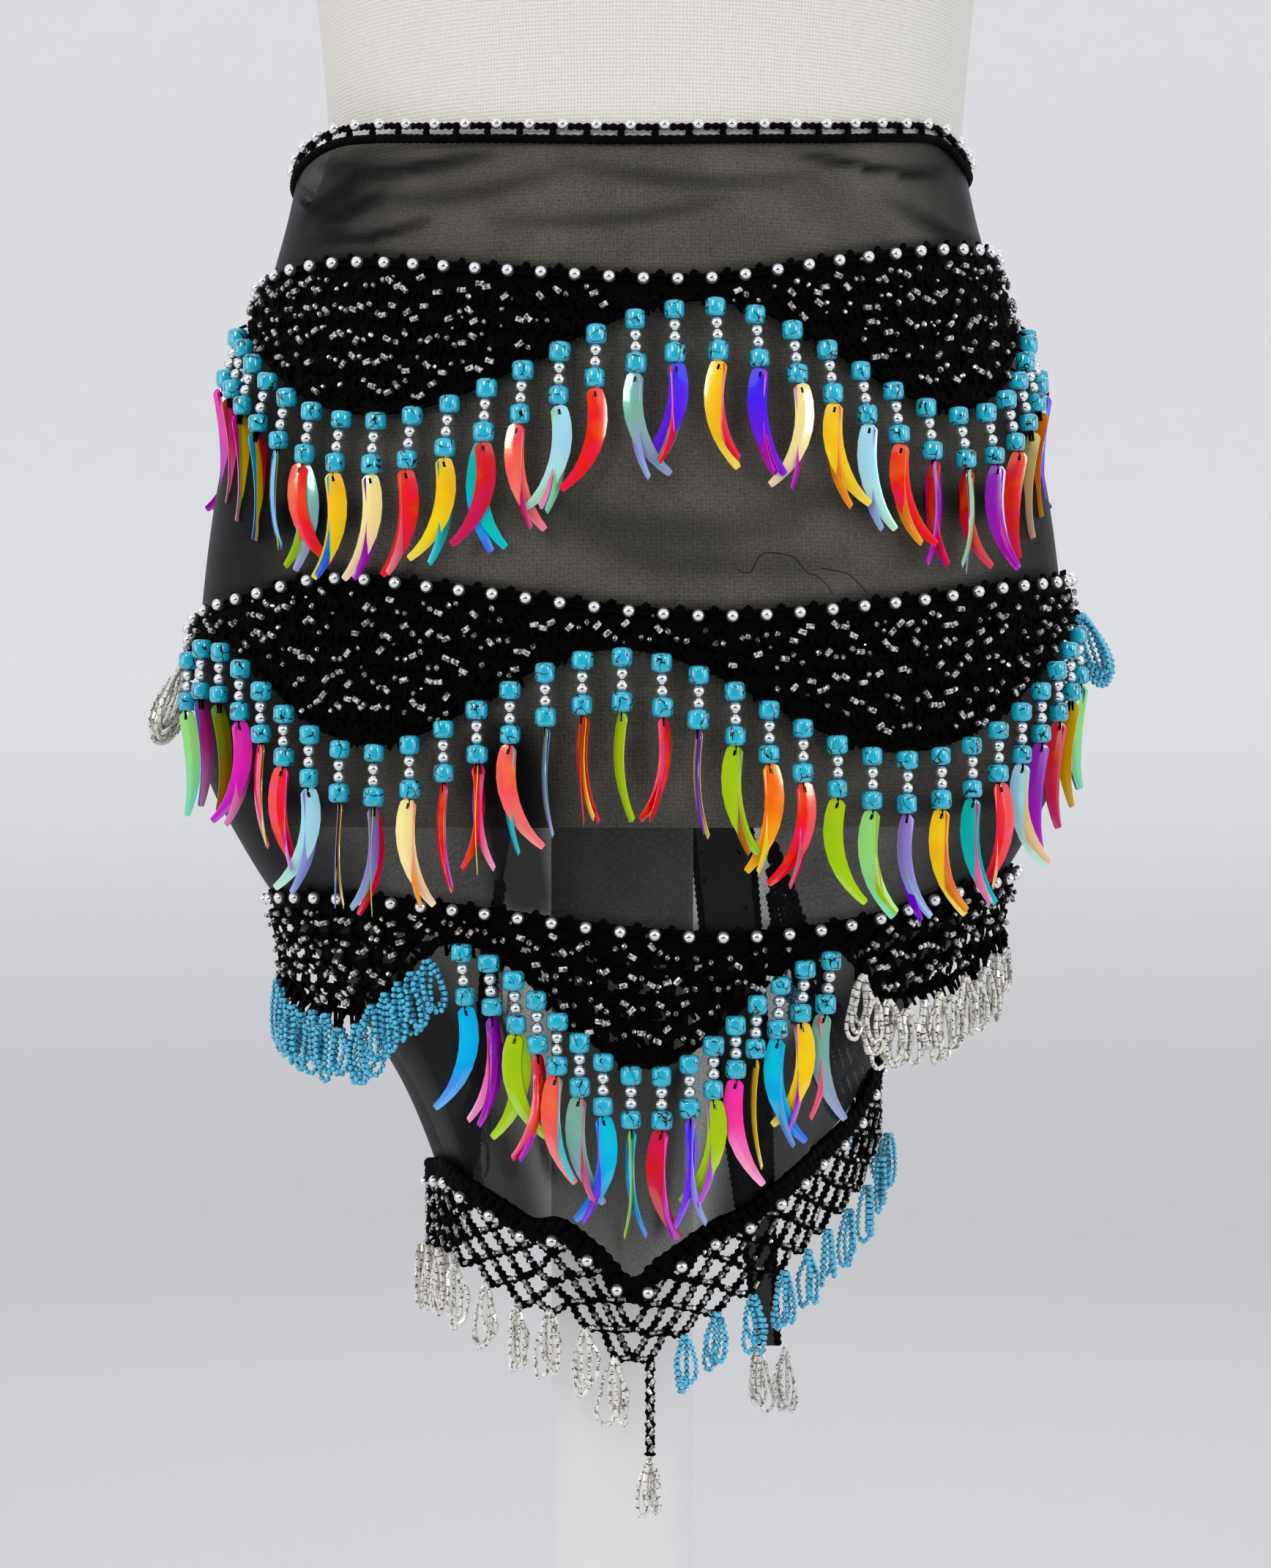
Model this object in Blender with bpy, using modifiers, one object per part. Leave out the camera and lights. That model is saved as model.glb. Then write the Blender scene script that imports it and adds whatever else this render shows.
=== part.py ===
"""Belly dance hip belt, worn by a floor-standing dress form without limbs.

Metres, +Z up. The origin is the middle of the base's underside, and the front of
the belt faces -Y. The belt is a triangle of chiffon wrapped round the hips with
its point at the front and its corners knotted behind. Crochet bands, beaded
dangles and bead loops hang from it.
"""
import math

import bmesh
import bpy

# ---------------------------------------------------------------- sizes, metres
BASE_RADIUS = 0.210
POST_RADIUS = 0.0288
COLLAR_HEIGHT = 0.030
FORM_BOTTOM = 0.783          # underside of the padded form, above the floor
FIGURE_SHIFT = 0.004         # the figure stands this far right of its post
HIP_HEIGHT = 0.832           # widest place of the hips
CLING = 0.30                 # how far the lowest band follows the cloth inward, of its drop
CLING_REACH = 0.034
SEAM = 0.0003                # gap between pieces sewn edge to edge
LAY = 0.0006                 # gap under a piece that lies on the chiffon

CLOTH_WALL = 0.001
LACE_WALL = 0.0012
LACE_LIFT = 0.001            # how far a band's free edge stands off
EDGING_WALL = 0.0018
EDGING_HEIGHT = 0.0075
FORM_CLEARANCE = 0.0016      # form to the outside of the cloth, at the waist
FORM_EASE = 0.0030           # the same below the waist
FORM_BACK_EASE = 0.0050      # more of it at the middle back

COLUMN_STEP = 8.75           # degrees between the cloth's upright lines
LAST_COLUMN = 20             # columns each side of the middle front
CLOTH_ROWS = 19
LACE_ROWS = 3

STRIP_HEIGHT = 0.0025        # the chain that a fringe hangs from
STRIP_WALL = 0.0020
STRIP_OUT = LAY + LACE_LIFT + LACE_WALL + 0.0005
BEAD_COLUMN = 0.025          # two large beads and two small ones on a thread
SEQUIN_LENGTH = 0.040
SEQUIN_LEANS = (0.05, -0.07, 0.03, -0.04, 0.07)   # sideways reach of the fans, in lengths
STRAND_OUT = 0.0034          # middle of a strand, out from the inner side of its chain
LOOP_LENGTH = 0.030          # at the ends of the bands and the tails
HEM_LOOPS_LEFT = 0.027
HEM_LOOPS_RIGHT = 0.023
CENTRE_DROP = 0.060

NET_PITCH = 0.0152           # width of a mesh of the hem net
NET_STEP = 0.0092            # half the height of a mesh
NET_LEVELS = 3
NET_BAND = 0.007             # solid crochet along the chiffon's edge
NET_LAP = 0.002              # how much of it lies over that edge
NET_LAY = 0.0010             # gap under it, over the folds
NET_YARN = 0.0014            # half the width of a strand
NET_WALL = 0.0014
NET_END = 158.0              # angle at which each half of the net ends

# Outline of the figure: the cloth's outer face up to the waist, the form above.
# height, half width, front depth, back depth
FIGURE = (
    (0.560, 0.0520, 0.0760, 0.0500),
    (0.600, 0.0600, 0.0790, 0.0550),
    (0.645, 0.0755, 0.0830, 0.0600),
    (0.687, 0.0955, 0.0890, 0.0700),
    (0.757, 0.1465, 0.1005, 0.1010),
    (0.784, 0.1630, 0.1045, 0.1140),
    (0.800, 0.1710, 0.1070, 0.1210),
    (0.818, 0.1755, 0.1085, 0.1250),
    (0.845, 0.1755, 0.1095, 0.1260),
    (0.875, 0.1740, 0.1090, 0.1245),
    (0.920, 0.1680, 0.1065, 0.1180),
    (0.960, 0.1585, 0.1030, 0.1100),
    (1.011, 0.1440, 0.0985, 0.1015),
    (1.030, 0.1390, 0.0960, 0.0980),
    (1.052, 0.1352, 0.0925, 0.0935),
    (1.078, 0.1365, 0.0915, 0.0920),
    (1.118, 0.1404, 0.0945, 0.0925),
    (1.170, 0.1480, 0.1020, 0.0960),
    (1.230, 0.1580, 0.1110, 0.1030),
    (1.290, 0.1665, 0.1130, 0.1080),
    (1.350, 0.1720, 0.1040, 0.1070),
    (1.395, 0.1670, 0.0880, 0.0990),
    (1.425, 0.1360, 0.0730, 0.0860),
    (1.448, 0.0880, 0.0600, 0.0700),
    (1.470, 0.0635, 0.0530, 0.0590),
    (1.500, 0.0575, 0.0510, 0.0550),
    (1.540, 0.0565, 0.0500, 0.0540),
)
FORM_HEIGHTS = (0.7835, 0.790, 0.806, 0.832, 0.878, 0.925, 0.975, 1.010, 1.030, 1.042,
                1.054, 1.067, 1.085, 1.120, 1.175, 1.235, 1.295, 1.350, 1.393, 1.423,
                1.445, 1.468, 1.500, 1.532)
# How far the form is drawn in below the ease: height, extra
FORM_ROUNDING = ((0.783, 0.0130), (0.790, 0.0060), (0.806, 0.0020), (0.832, 0.0))
# The form is narrower on the left above the hips, where the belt stands off: height, gap
FORM_SLACK = ((1.000, 0.0), (1.060, 0.0110))

# Top edge of the chiffon, which dips at the front and behind: angle, height
WAIST = (
    (-175, 1.036), (-95, 1.0385), (-73, 1.0450), (-58, 1.0478), (-48, 1.0465), (-30, 1.0424),
    (0, 1.0390), (30, 1.0424), (48, 1.0470), (62, 1.0499), (77, 1.0445), (95, 1.0430),
    (175, 1.038),
)
# Lower edge of the chiffon: angle from the middle front, height
HEM = (
    (-175, 0.990), (-169, 0.880), (-160, 0.776), (-149, 0.722), (-138, 0.684), (-125, 0.658),
    (-110, 0.647), (-96, 0.645), (-80, 0.647), (-60, 0.650), (-45, 0.642), (-31, 0.6325),
    (-20, 0.633), (-9, 0.622), (0, 0.611), (9, 0.6195), (22, 0.6305), (34, 0.6365),
    (45, 0.647), (60, 0.6565), (76, 0.669), (90, 0.688), (110, 0.691), (125, 0.700),
    (138, 0.718), (150, 0.747), (161, 0.795), (169, 0.880), (175, 0.990),
)
# Folds below the form: angle, half width in degrees, depth at the hem
FOLDS = (
    (-122, 19, 0.0042), (-84, 17, 0.0038), (-52, 17, 0.0036), (-22, 15, 0.0026),
    (14, 15, 0.0026), (44, 17, 0.0036), (79, 17, 0.0038), (118, 19, 0.0042),
)
FOLD_TOP = 0.735
FOLD_REACH = 0.085

# Crochet bands: the bead line and the lobed lower edge, as angle, height.
ROW_1_LINE = ((-158, 0.9950), (-83, 0.9985), (-49, 0.9988), (-15, 0.9900), (9, 0.9868),
              (31, 0.9961), (55, 1.0057), (83, 1.0109), (158, 1.0060))
ROW_1_EDGE = ((-158, 0.972), (-138, 0.945), (-86, 0.983), (-34, 0.9385), (10.5, 0.9790),
              (47, 0.9425), (88, 0.983), (138, 0.948), (158, 0.975))
ROW_2_LINE = ((-88, 0.8580), (-75, 0.8660), (-55, 0.8722), (-40, 0.8771), (-21, 0.8714),
              (8, 0.8616), (34, 0.8676), (54, 0.8751), (88, 0.8830))
ROW_2_EDGE = ((-88, 0.8420), (-66, 0.8560), (-33, 0.8145), (-2, 0.8495), (34, 0.8120),
              (88, 0.8680))
ROW_3_LINE = ((-88, 0.7534), (-50, 0.7562), (-25, 0.7524), (2, 0.7444), (20, 0.7432),
              (39, 0.7482), (56, 0.7582), (88, 0.7650))
ROW_3_EDGE = ((-88, 0.7230), (-49, 0.7115), (-27.5, 0.7405), (2.5, 0.6945), (33, 0.7370),
              (46, 0.7180), (88, 0.7410))
# name, line, edge, last column each side
BANDS = (
    ("row_1", ROW_1_LINE, ROW_1_EDGE, 18),
    ("row_2", ROW_2_LINE, ROW_2_EDGE, 10),
    ("row_3", ROW_3_LINE, ROW_3_EDGE, 10),
)
# Dangles: band, first angle, last angle, how many
DANGLES = (
    ("row_1", -155, -93, 9), ("row_1", -86, 86, 31), ("row_1", 93, 155, 9),
    ("row_2", -74, 77, 32),
    ("row_3", -26, 32.2, 16),
)
# Bead loops at the ends of the bands: node, band, first angle, last angle, how many
END_LOOPS = (
    ("loops_row_2_left", "row_2", -86, -80, 2),
    ("loops_row_2_right", "row_2", 82.5, 88, 2),
    ("loops_row_3_left", "row_3", -80, -32, 9),
    ("loops_row_3_right", "row_3", 38.5, 80, 8),
)
# Tied corners behind: name, x at the knot, x at the tip, height of the tip
TAILS = (
    ("tail_left", -0.0142, 0.018, 0.600),
    ("tail_right", 0.0225, 0.066, 0.546),
)
TAIL_TOP = 1.0017
TAIL_WIDTH = 0.036
TAIL_TIP_WIDTH = 0.010
TAIL_PLEAT = 0.0030
TAIL_ROWS = 9
TAIL_ACROSS = 4
TAIL_OUT = 0.0040
KNOT_SIZE = (0.026, 0.014, 0.017)
KNOT_HEIGHT = 1.0185
KNOT_SINK = 0.0013           # it sits this far in, between the ends of the chiffon

# name: sRGB-like base colour, roughness
FINISHES = {
    "linen": ((0.78, 0.74, 0.68), 0.9),
    "painted_white": ((0.85, 0.85, 0.84), 0.5),
    "chiffon": ((0.02, 0.02, 0.02), 0.7),
    "crochet": ((0.01, 0.01, 0.01), 0.9),
    "dangles": ((0.02, 0.45, 0.50), 0.3),
    "clear_beads": ((0.80, 0.82, 0.80), 0.2),
    "blue_beads": ((0.12, 0.50, 0.75), 0.2),
}


# ------------------------------------------------------------------- curve maths
def smooth_value(table, place, column=1):
    """Read a table with a smooth curve that passes through its rows."""
    if place <= table[0][0]:
        return table[0][column]
    if place >= table[-1][0]:
        return table[-1][column]
    last = len(table) - 1
    low = max(i for i in range(last) if table[i][0] <= place)

    def slope(i):
        before, after = table[max(i - 1, 0)], table[min(i + 1, last)]
        return (after[column] - before[column]) / (after[0] - before[0])

    span = table[low + 1][0] - table[low][0]
    u = (place - table[low][0]) / span
    start, end = table[low][column], table[low + 1][column]
    return (start * (2 * u**3 - 3 * u**2 + 1) + slope(low) * span * (u**3 - 2 * u**2 + u)
            + end * (3 * u**2 - 2 * u**3) + slope(low + 1) * span * (u**3 - u**2))


def wave_value(table, place):
    """Read a table of highs and lows, easing in and out at each of them."""
    if place <= table[0][0]:
        return table[0][1]
    for (start, low), (end, high) in zip(table, table[1:]):
        if place <= end:
            u = (place - start) / (end - start)
            return low + (high - low) * (1 - math.cos(math.pi * u)) / 2
    return table[-1][1]


def fold_at_column(column):
    bulge = 0.0
    for middle, half_width, depth in FOLDS:
        reach = abs(column * COLUMN_STEP - middle) / half_width
        if reach < 1:
            bulge = max(bulge, depth * (1 + math.cos(math.pi * reach)) / 2)
    return bulge


def fold(angle, height):
    """How far the chiffon's folds stand out below the form, straight between its columns."""
    fall = min(max((FOLD_TOP - height) / FOLD_REACH, 0.0), 1.0)
    low = math.floor(angle / COLUMN_STEP)
    share = angle / COLUMN_STEP - low
    return fall * (fold_at_column(low) * (1 - share) + fold_at_column(low + 1) * share)


def figure_point(angle, height, out):
    """A point on the figure; 0 degrees is the middle front, out is the stand-off."""
    half_width = smooth_value(FIGURE, height, 1)
    turn = math.radians(angle)
    depth = smooth_value(FIGURE, height, 2 if math.cos(turn) > 0 else 3)
    normal_x = math.sin(turn) / half_width
    normal_y = math.cos(turn) / depth
    length = math.hypot(normal_x, normal_y)
    return (FIGURE_SHIFT + half_width * math.sin(turn) + out * normal_x / length,
            -depth * math.cos(turn) - out * normal_y / length,
            height)


def cloth_point(angle, height, out=0.0):
    return figure_point(angle, height, out + fold(angle, height))


def hung_point(angle, height, top, out):
    """A point of something that is sewn on at the height top and hangs from there.

    It rests on the hips, drops straight below them, and clings a little to the cloth
    where it is sewn on lower down.
    """
    resting = min(max(HIP_HEIGHT, height), top)
    if top < HIP_HEIGHT:
        resting -= CLING * min(top - height, CLING_REACH)
    x, y, _ = cloth_point(angle, resting, out)
    return (x, y, height)


def even_angles(place, first, last, count):
    """Angles that share the curve place(angle) into equal lengths."""
    steps = 240
    angles = [first + (last - first) * i / steps for i in range(steps + 1)]
    points = [place(angle) for angle in angles]
    travel = [0.0]
    for here, there in zip(points, points[1:]):
        travel.append(travel[-1] + math.dist(here, there))
    chosen = []
    for i in range(count):
        goal = travel[-1] * i / (count - 1)
        low = max(k for k in range(steps) if travel[k] <= goal + 1e-12)
        share = (goal - travel[low]) / (travel[low + 1] - travel[low])
        chosen.append(angles[low] + (angles[low + 1] - angles[low]) * share)
    return chosen


# ------------------------------------------------------------------ object makers
def finish(name):
    material = bpy.data.materials.get(name)
    if material is None:
        colour, roughness = FINISHES[name]
        material = bpy.data.materials.new(name)
        material.use_nodes = True
        shader = material.node_tree.nodes["Principled BSDF"]
        shader.inputs["Base Color"].default_value = (*colour, 1.0)
        shader.inputs["Roughness"].default_value = roughness
    return material


def add_object(name, mesh, material):
    mesh.materials.append(finish(material))
    thing = bpy.data.objects.new(name, mesh)
    bpy.data.collections["hip_belt_on_form"].objects.link(thing)
    return thing


def add_from_bmesh(name, shape, material, smooth=True):
    mesh = bpy.data.meshes.new(name)
    shape.to_mesh(mesh)
    shape.free()
    if smooth:
        mesh.shade_smooth()
    return add_object(name, mesh, material)


def sheet(name, columns, rows, point, wall, outward, material):
    """A wall of cloth: a grid of point(column, row), thickened to one side."""
    shape = bmesh.new()
    grid = [[shape.verts.new(point(c, r)) for r in range(rows + 1)] for c in range(columns + 1)]
    for c in range(columns):
        for r in range(rows):
            shape.faces.new((grid[c][r + 1], grid[c + 1][r + 1], grid[c + 1][r], grid[c][r]))
    thing = add_from_bmesh(name, shape, material)
    thicken(thing, wall, outward)
    return thing


def thicken(thing, wall, outward):
    modifier = thing.modifiers.new("wall", 'SOLIDIFY')
    modifier.thickness = wall
    modifier.offset = 1.0 if outward else -1.0


def turned(name, profile, steps, material):
    """Turn a profile, given as radius and height from the top down, round the post."""
    mesh = bpy.data.meshes.new(name)
    corners = [(radius, 0.0, height) for radius, height in profile]
    mesh.from_pydata(corners, [(i, i + 1) for i in range(len(corners) - 1)], [])
    thing = add_object(name, mesh, material)
    screw = thing.modifiers.new("turn", 'SCREW')
    screw.steps = steps
    screw.render_steps = steps
    screw.use_merge_vertices = True
    screw.merge_threshold = 0.00005
    return thing


def column_angle(column):
    return column * COLUMN_STEP


# ------------------------------------------------------------------- the dress form
def build_base():
    radius = BASE_RADIUS
    turned("form_base", (
        (0.0, COLLAR_HEIGHT), (0.040, COLLAR_HEIGHT), (0.045, 0.0260), (0.047, 0.0170),
        (radius - 0.014, 0.0120), (radius - 0.004, 0.0100), (radius, 0.0060), (radius, 0.0),
        (0.0, 0.0)), 48, "painted_white")


def build_post():
    shape = bmesh.new()
    length = FORM_BOTTOM - COLLAR_HEIGHT - 2 * SEAM
    bmesh.ops.create_cone(shape, cap_ends=True, segments=32, radius1=POST_RADIUS,
                          radius2=POST_RADIUS, depth=length)
    bmesh.ops.translate(shape, vec=(0, 0, COLLAR_HEIGHT + SEAM + length / 2), verts=shape.verts)
    add_from_bmesh("form_post", shape, "painted_white", smooth=False)


def form_inset(angle, height):
    """How far the form keeps inside the figure's outline, most under the slanting back edges."""
    if height > 1.0:
        return FORM_CLEARANCE
    behind = wave_value(((125, 0.0), (150, 1.0)), abs(angle))
    return FORM_EASE + FORM_BACK_EASE * behind + smooth_value(FORM_ROUNDING, height)


def form_point(angle, height):
    x, y, z = figure_point(angle, height, -form_inset(angle, height))
    slack = wave_value(FORM_SLACK, height)
    return (x + slack * max(-math.sin(math.radians(angle)), 0.0), y, z)


def build_torso():
    """The padded torso shares the cloth's upright lines, so the gap between them is even."""
    shape = bmesh.new()
    rings = []
    for height in FORM_HEIGHTS:
        angles = [column_angle(c) for c in range(-LAST_COLUMN, LAST_COLUMN + 1)]
        rings.append([shape.verts.new(form_point(a, height)) for a in angles])
    count = len(rings[0])
    for lower, upper in zip(rings, rings[1:]):
        for i in range(count):
            k = (i + 1) % count
            shape.faces.new((lower[i], lower[k], upper[k], upper[i]))
    shape.faces.new(list(reversed(rings[0])))
    shape.faces.new(rings[-1])
    add_from_bmesh("form_torso", shape, "linen")


# ------------------------------------------------------------------------ the cloth
def hem(angle):
    return smooth_value(HEM, angle)


def waist(angle):
    return smooth_value(WAIST, angle)


def build_chiffon():
    def point(column, row):
        angle = column_angle(column - LAST_COLUMN)
        top = waist(angle)
        height = top + (hem(angle) - top) * row / CLOTH_ROWS
        return cloth_point(angle, height)

    sheet("chiffon_panel", 2 * LAST_COLUMN, CLOTH_ROWS, point, CLOTH_WALL, False, "chiffon")


def build_waist_edging():
    def point(column, row):
        angle = column_angle(column - LAST_COLUMN)
        height = waist(angle) + SEAM + EDGING_HEIGHT * (1 - row)
        return figure_point(angle, height, -CLOTH_WALL)

    sheet("waist_edging", 2 * LAST_COLUMN, 1, point, EDGING_WALL, True, "crochet")


def band_point(line, edge, angle, share, out=0.0):
    """A point of a crochet band: share 0 is its bead line, 1 is its lower edge."""
    top = smooth_value(line, angle)
    height = top + (wave_value(edge, angle) - top) * share
    return hung_point(angle, height, top, LAY + LACE_LIFT * share + out)


def build_band(name, line, edge, last_column):
    def point(column, row):
        return band_point(line, edge, column_angle(column - last_column), row / LACE_ROWS)

    sheet("lace_" + name, 2 * last_column, LACE_ROWS, point, LACE_WALL, True, "crochet")


# ---------------------------------------------------------------------- the fringes
def sideways(angle):
    """Level directions out of and along the figure at an angle."""
    inner, outer = figure_point(angle, HIP_HEIGHT, 0.0), figure_point(angle, HIP_HEIGHT, 1.0)
    out = (outer[0] - inner[0], outer[1] - inner[1])
    return out, (-out[1], out[0])


def ring(shape, middle, angle, width, depth):
    """Four corners round a point: outer left, outer right, inner right, inner left."""
    out, along = sideways(angle)
    corners = []
    for across, away in ((-1, 1), (1, 1), (1, -1), (-1, -1)):
        corners.append(shape.verts.new((
            middle[0] + along[0] * across * width / 2 + out[0] * away * depth / 2,
            middle[1] + along[1] * across * width / 2 + out[1] * away * depth / 2,
            middle[2])))
    return corners


def join_rings(shape, upper, lower):
    for i in range(4):
        k = (i + 1) % 4
        shape.faces.new((upper[k], upper[i], lower[i], lower[k]))


def beside(point, angle, away, along_by=0.0):
    """Move a point out of the figure and along it, keeping its height."""
    out, along = sideways(angle)
    return (point[0] + out[0] * away + along[0] * along_by,
            point[1] + out[1] * away + along[1] * along_by, point[2])


def dangle_rings(place, angle, index):
    """A bead column and a fan of sequins that leans to one side or the other."""
    lean = SEQUIN_LEANS[index % len(SEQUIN_LEANS)] * SEQUIN_LENGTH
    beads = beside(place(angle, BEAD_COLUMN), angle, STRAND_OUT)
    tip = beside(place(angle, BEAD_COLUMN + SEQUIN_LENGTH), angle, STRAND_OUT, lean)
    return ((beads, 0.0058, 0.0058), (tip, 0.0032, 0.0030))


def loop_rings(place, angle, index, length=LOOP_LENGTH):
    """A bunch of bead loops, widest near its lower end."""
    upper = beside(place(angle, length * 0.70), angle, STRAND_OUT)
    lower = beside(place(angle, length), angle, STRAND_OUT)
    return ((upper, 0.0085, 0.0060), (lower, 0.0055, 0.0045))


def fringe(name, place, angles, strand_rings, root_width, material):
    """Strands that hang from one narrow chain; place(angle) runs along the chain."""
    shape = bmesh.new()
    stations = []
    for angle in angles:
        _, along = sideways(angle)
        x, y, z = place(angle)
        ahead = place(angle + 0.5)
        degrees = 0.5 / max(math.dist(ahead[:2], (x, y)), 1e-6) * root_width / 2
        for side in (-degrees, degrees):
            stations.append(angle + side)
    shape_rings = []
    for angle in stations:
        out, _ = sideways(angle)
        x, y, z = place(angle)
        half = STRIP_HEIGHT / 2
        corners = []
        for away, rise in ((1, half), (1, -half), (0, -half), (0, half)):
            corners.append(shape.verts.new((x + out[0] * STRIP_WALL * away,
                                            y + out[1] * STRIP_WALL * away, z + rise)))
        shape_rings.append(corners)
    for i, (left, right) in enumerate(zip(shape_rings, shape_rings[1:])):
        # the sides are outer, bottom, inner and top; a strand takes the bottom's place
        for k in range(4):
            if k == 1 and i % 2 == 0:
                continue
            shape.faces.new((left[k], left[(k + 1) % 4], right[(k + 1) % 4], right[k]))
    shape.faces.new((shape_rings[0][3], shape_rings[0][2], shape_rings[0][1], shape_rings[0][0]))
    shape.faces.new(shape_rings[-1])
    for index, angle in enumerate(angles):
        left, right = shape_rings[2 * index], shape_rings[2 * index + 1]
        upper = [left[1], right[1], right[2], left[2]]
        for middle, width, depth in strand_rings(place, angle, index):
            lower = ring(shape, middle, angle, width, depth)
            join_rings(shape, upper, lower)
            upper = lower
        shape.faces.new(upper)
    bmesh.ops.recalc_face_normals(shape, faces=shape.faces)
    return add_from_bmesh(name, shape, material, smooth=False)


def band_tables(name):
    for band, line, edge, _ in BANDS:
        if band == name:
            return line, edge
    raise KeyError(name)


def band_chain(name):
    """Where a band's lower chain runs, and where its strands hang a drop below it."""
    line, edge = band_tables(name)

    def place(angle, drop=0.0):
        top = smooth_value(line, angle)
        height = wave_value(edge, angle) + STRIP_HEIGHT / 2 - drop
        return hung_point(angle, height, top, STRIP_OUT)

    return place


def build_dangles():
    for band in ("row_1", "row_2", "row_3"):
        place = band_chain(band)
        angles = []
        for name, first, last, count in DANGLES:
            if name == band:
                angles += even_angles(place, first, last, count)
        fringe("dangles_" + band, place, angles, dangle_rings, 0.0050, "dangles")


def build_end_loops():
    for node, band, first, last, count in END_LOOPS:
        place = band_chain(band)
        colour = "clear_beads" if node in ("loops_row_2_left", "loops_row_3_right") else "blue_beads"
        fringe(node, place, even_angles(place, first, last, count), loop_rings, 0.0035, colour)


# ---------------------------------------------------------------------- the hem net
def net_place(angle, drop, out=0.0):
    top = hem(angle) + NET_LAP
    x, y, _ = cloth_point(angle, top, NET_LAY + out)
    return (x, y, top - drop)


def net_angles(side):
    """Angles of the net's half meshes, from the middle front to its end behind."""
    def line(angle):
        return net_place(angle, 0.0)

    first, last = 0.35 * side, NET_END * side
    fine = [line(first + (last - first) * i / 200) for i in range(201)]
    length = sum(math.dist(a, b) for a, b in zip(fine, fine[1:]))
    count = 2 * round(length / NET_PITCH)
    return even_angles(line, first, last, count + 1)


def build_hem_net(name, side):
    """Half of the net: a solid band, then meshes whose yarns cross at small squares."""
    angles = net_angles(side)
    lengths = [math.dist(net_place(angles[i], 0), net_place(angles[i + 1], 0))
               for i in range(len(angles) - 1)]
    half_mesh = sum(lengths) / len(lengths)
    shape = bmesh.new()

    def corner(step, drop):
        low = min(max(int(math.floor(step)), 0), len(angles) - 2)
        angle = angles[low] + (angles[low + 1] - angles[low]) * (step - low)
        return shape.verts.new(net_place(angle, drop))

    def face(*corners):
        shape.faces.new(corners if side > 0 else tuple(reversed(corners)))

    yarn = NET_YARN / half_mesh
    last = len(angles) - 1
    crossings = {}
    for level in range(NET_LEVELS + 1):
        drop = NET_BAND + level * NET_STEP
        for step in range(level % 2, last + 1, 2):
            left, right = max(step - yarn, 0.0), min(step + yarn, float(last))
            crossings[step, level] = {
                "left": corner(left, drop), "right": corner(right, drop),
                "bottom": corner(min(max(step, 0.0), last), drop + NET_YARN),
            }
            if level:
                crossings[step, level]["top"] = corner(step, drop - NET_YARN)
    for (step, level), here in crossings.items():
        if level:
            face(here["left"], here["bottom"], here["right"], here["top"])
        else:
            face(here["left"], here["bottom"], here["right"])
        below_right = crossings.get((step + 1, level + 1))
        if below_right:
            face(here["right"], here["bottom"], below_right["left"], below_right["top"])
        below_left = crossings.get((step - 1, level + 1))
        if below_left:
            face(here["left"], below_left["top"], below_left["right"], here["bottom"])
    top_row = []
    for step in range(0, last + 1, 2):
        here = crossings[step, 0]
        left, right = max(step - yarn, 0.0), min(step + yarn, float(last))
        top_row += [(here["left"], corner(left, 0.0)), (here["right"], corner(right, 0.0))]
    for (low_a, high_a), (low_b, high_b) in zip(top_row, top_row[1:]):
        face(low_a, low_b, high_b, high_a)
    thing = add_from_bmesh(name, shape, "crochet", smooth=False)
    thicken(thing, NET_WALL, True)


def build_hem_loops(name, side, length, colour):
    """A bunch of bead loops under each lowest point of the net."""
    chain = NET_BAND + NET_LEVELS * NET_STEP + NET_YARN - STRIP_HEIGHT
    out = NET_WALL + 0.0014

    def place(angle, drop=0.0):
        return net_place(angle, chain + drop, out)

    angles = [a for i, a in enumerate(net_angles(side)) if i % 2 == NET_LEVELS % 2]
    if side < 0:
        angles.reverse()

    def rings(where, angle, index):
        drops_low = side > 0 and index == 0
        return loop_rings(where, angle, index, CENTRE_DROP if drops_low else length)

    fringe(name, place, angles, rings, 0.0035, colour)


# ------------------------------------------------------------------ knot and tails
def build_knot():
    shape = bmesh.new()
    bmesh.ops.create_uvsphere(shape, u_segments=16, v_segments=8, radius=1.0)
    wide, deep, tall = KNOT_SIZE
    bmesh.ops.scale(shape, vec=(wide, deep, tall), verts=shape.verts)
    back = figure_point(180, KNOT_HEIGHT, 0.0)[1]
    bmesh.ops.translate(shape, vec=(FIGURE_SHIFT, back + deep - KNOT_SINK, KNOT_HEIGHT),
                        verts=shape.verts)
    add_from_bmesh("knot", shape, "chiffon")


def tail_point(across, share, top_x, tip_x, tip_height):
    """A point of a tied corner: across runs -1 to 1, share runs from the knot to the tip."""
    height = TAIL_TOP + (tip_height - TAIL_TOP) * share
    width = TAIL_WIDTH + (TAIL_TIP_WIDTH - TAIL_WIDTH) * share**1.5
    middle = top_x + (tip_x - top_x) * share
    resting = min(max(HIP_HEIGHT, height), TAIL_TOP)
    back = figure_point(180, resting, 0.0)[1]
    pleat = TAIL_PLEAT * (1 - share) if round((across + 1) * TAIL_ACROSS / 2) % 2 else 0.0
    return (middle + across * width / 2, back + TAIL_OUT + pleat, height)


def build_tails():
    for name, top_x, tip_x, tip_height in TAILS:
        def point(column, row, top_x=top_x, tip_x=tip_x, tip_height=tip_height):
            across = 1 - 2 * column / TAIL_ACROSS
            return tail_point(across, row / TAIL_ROWS, top_x, tip_x, tip_height)

        sheet(name, TAIL_ACROSS, TAIL_ROWS, point, CLOTH_WALL, True, "chiffon")


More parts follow.
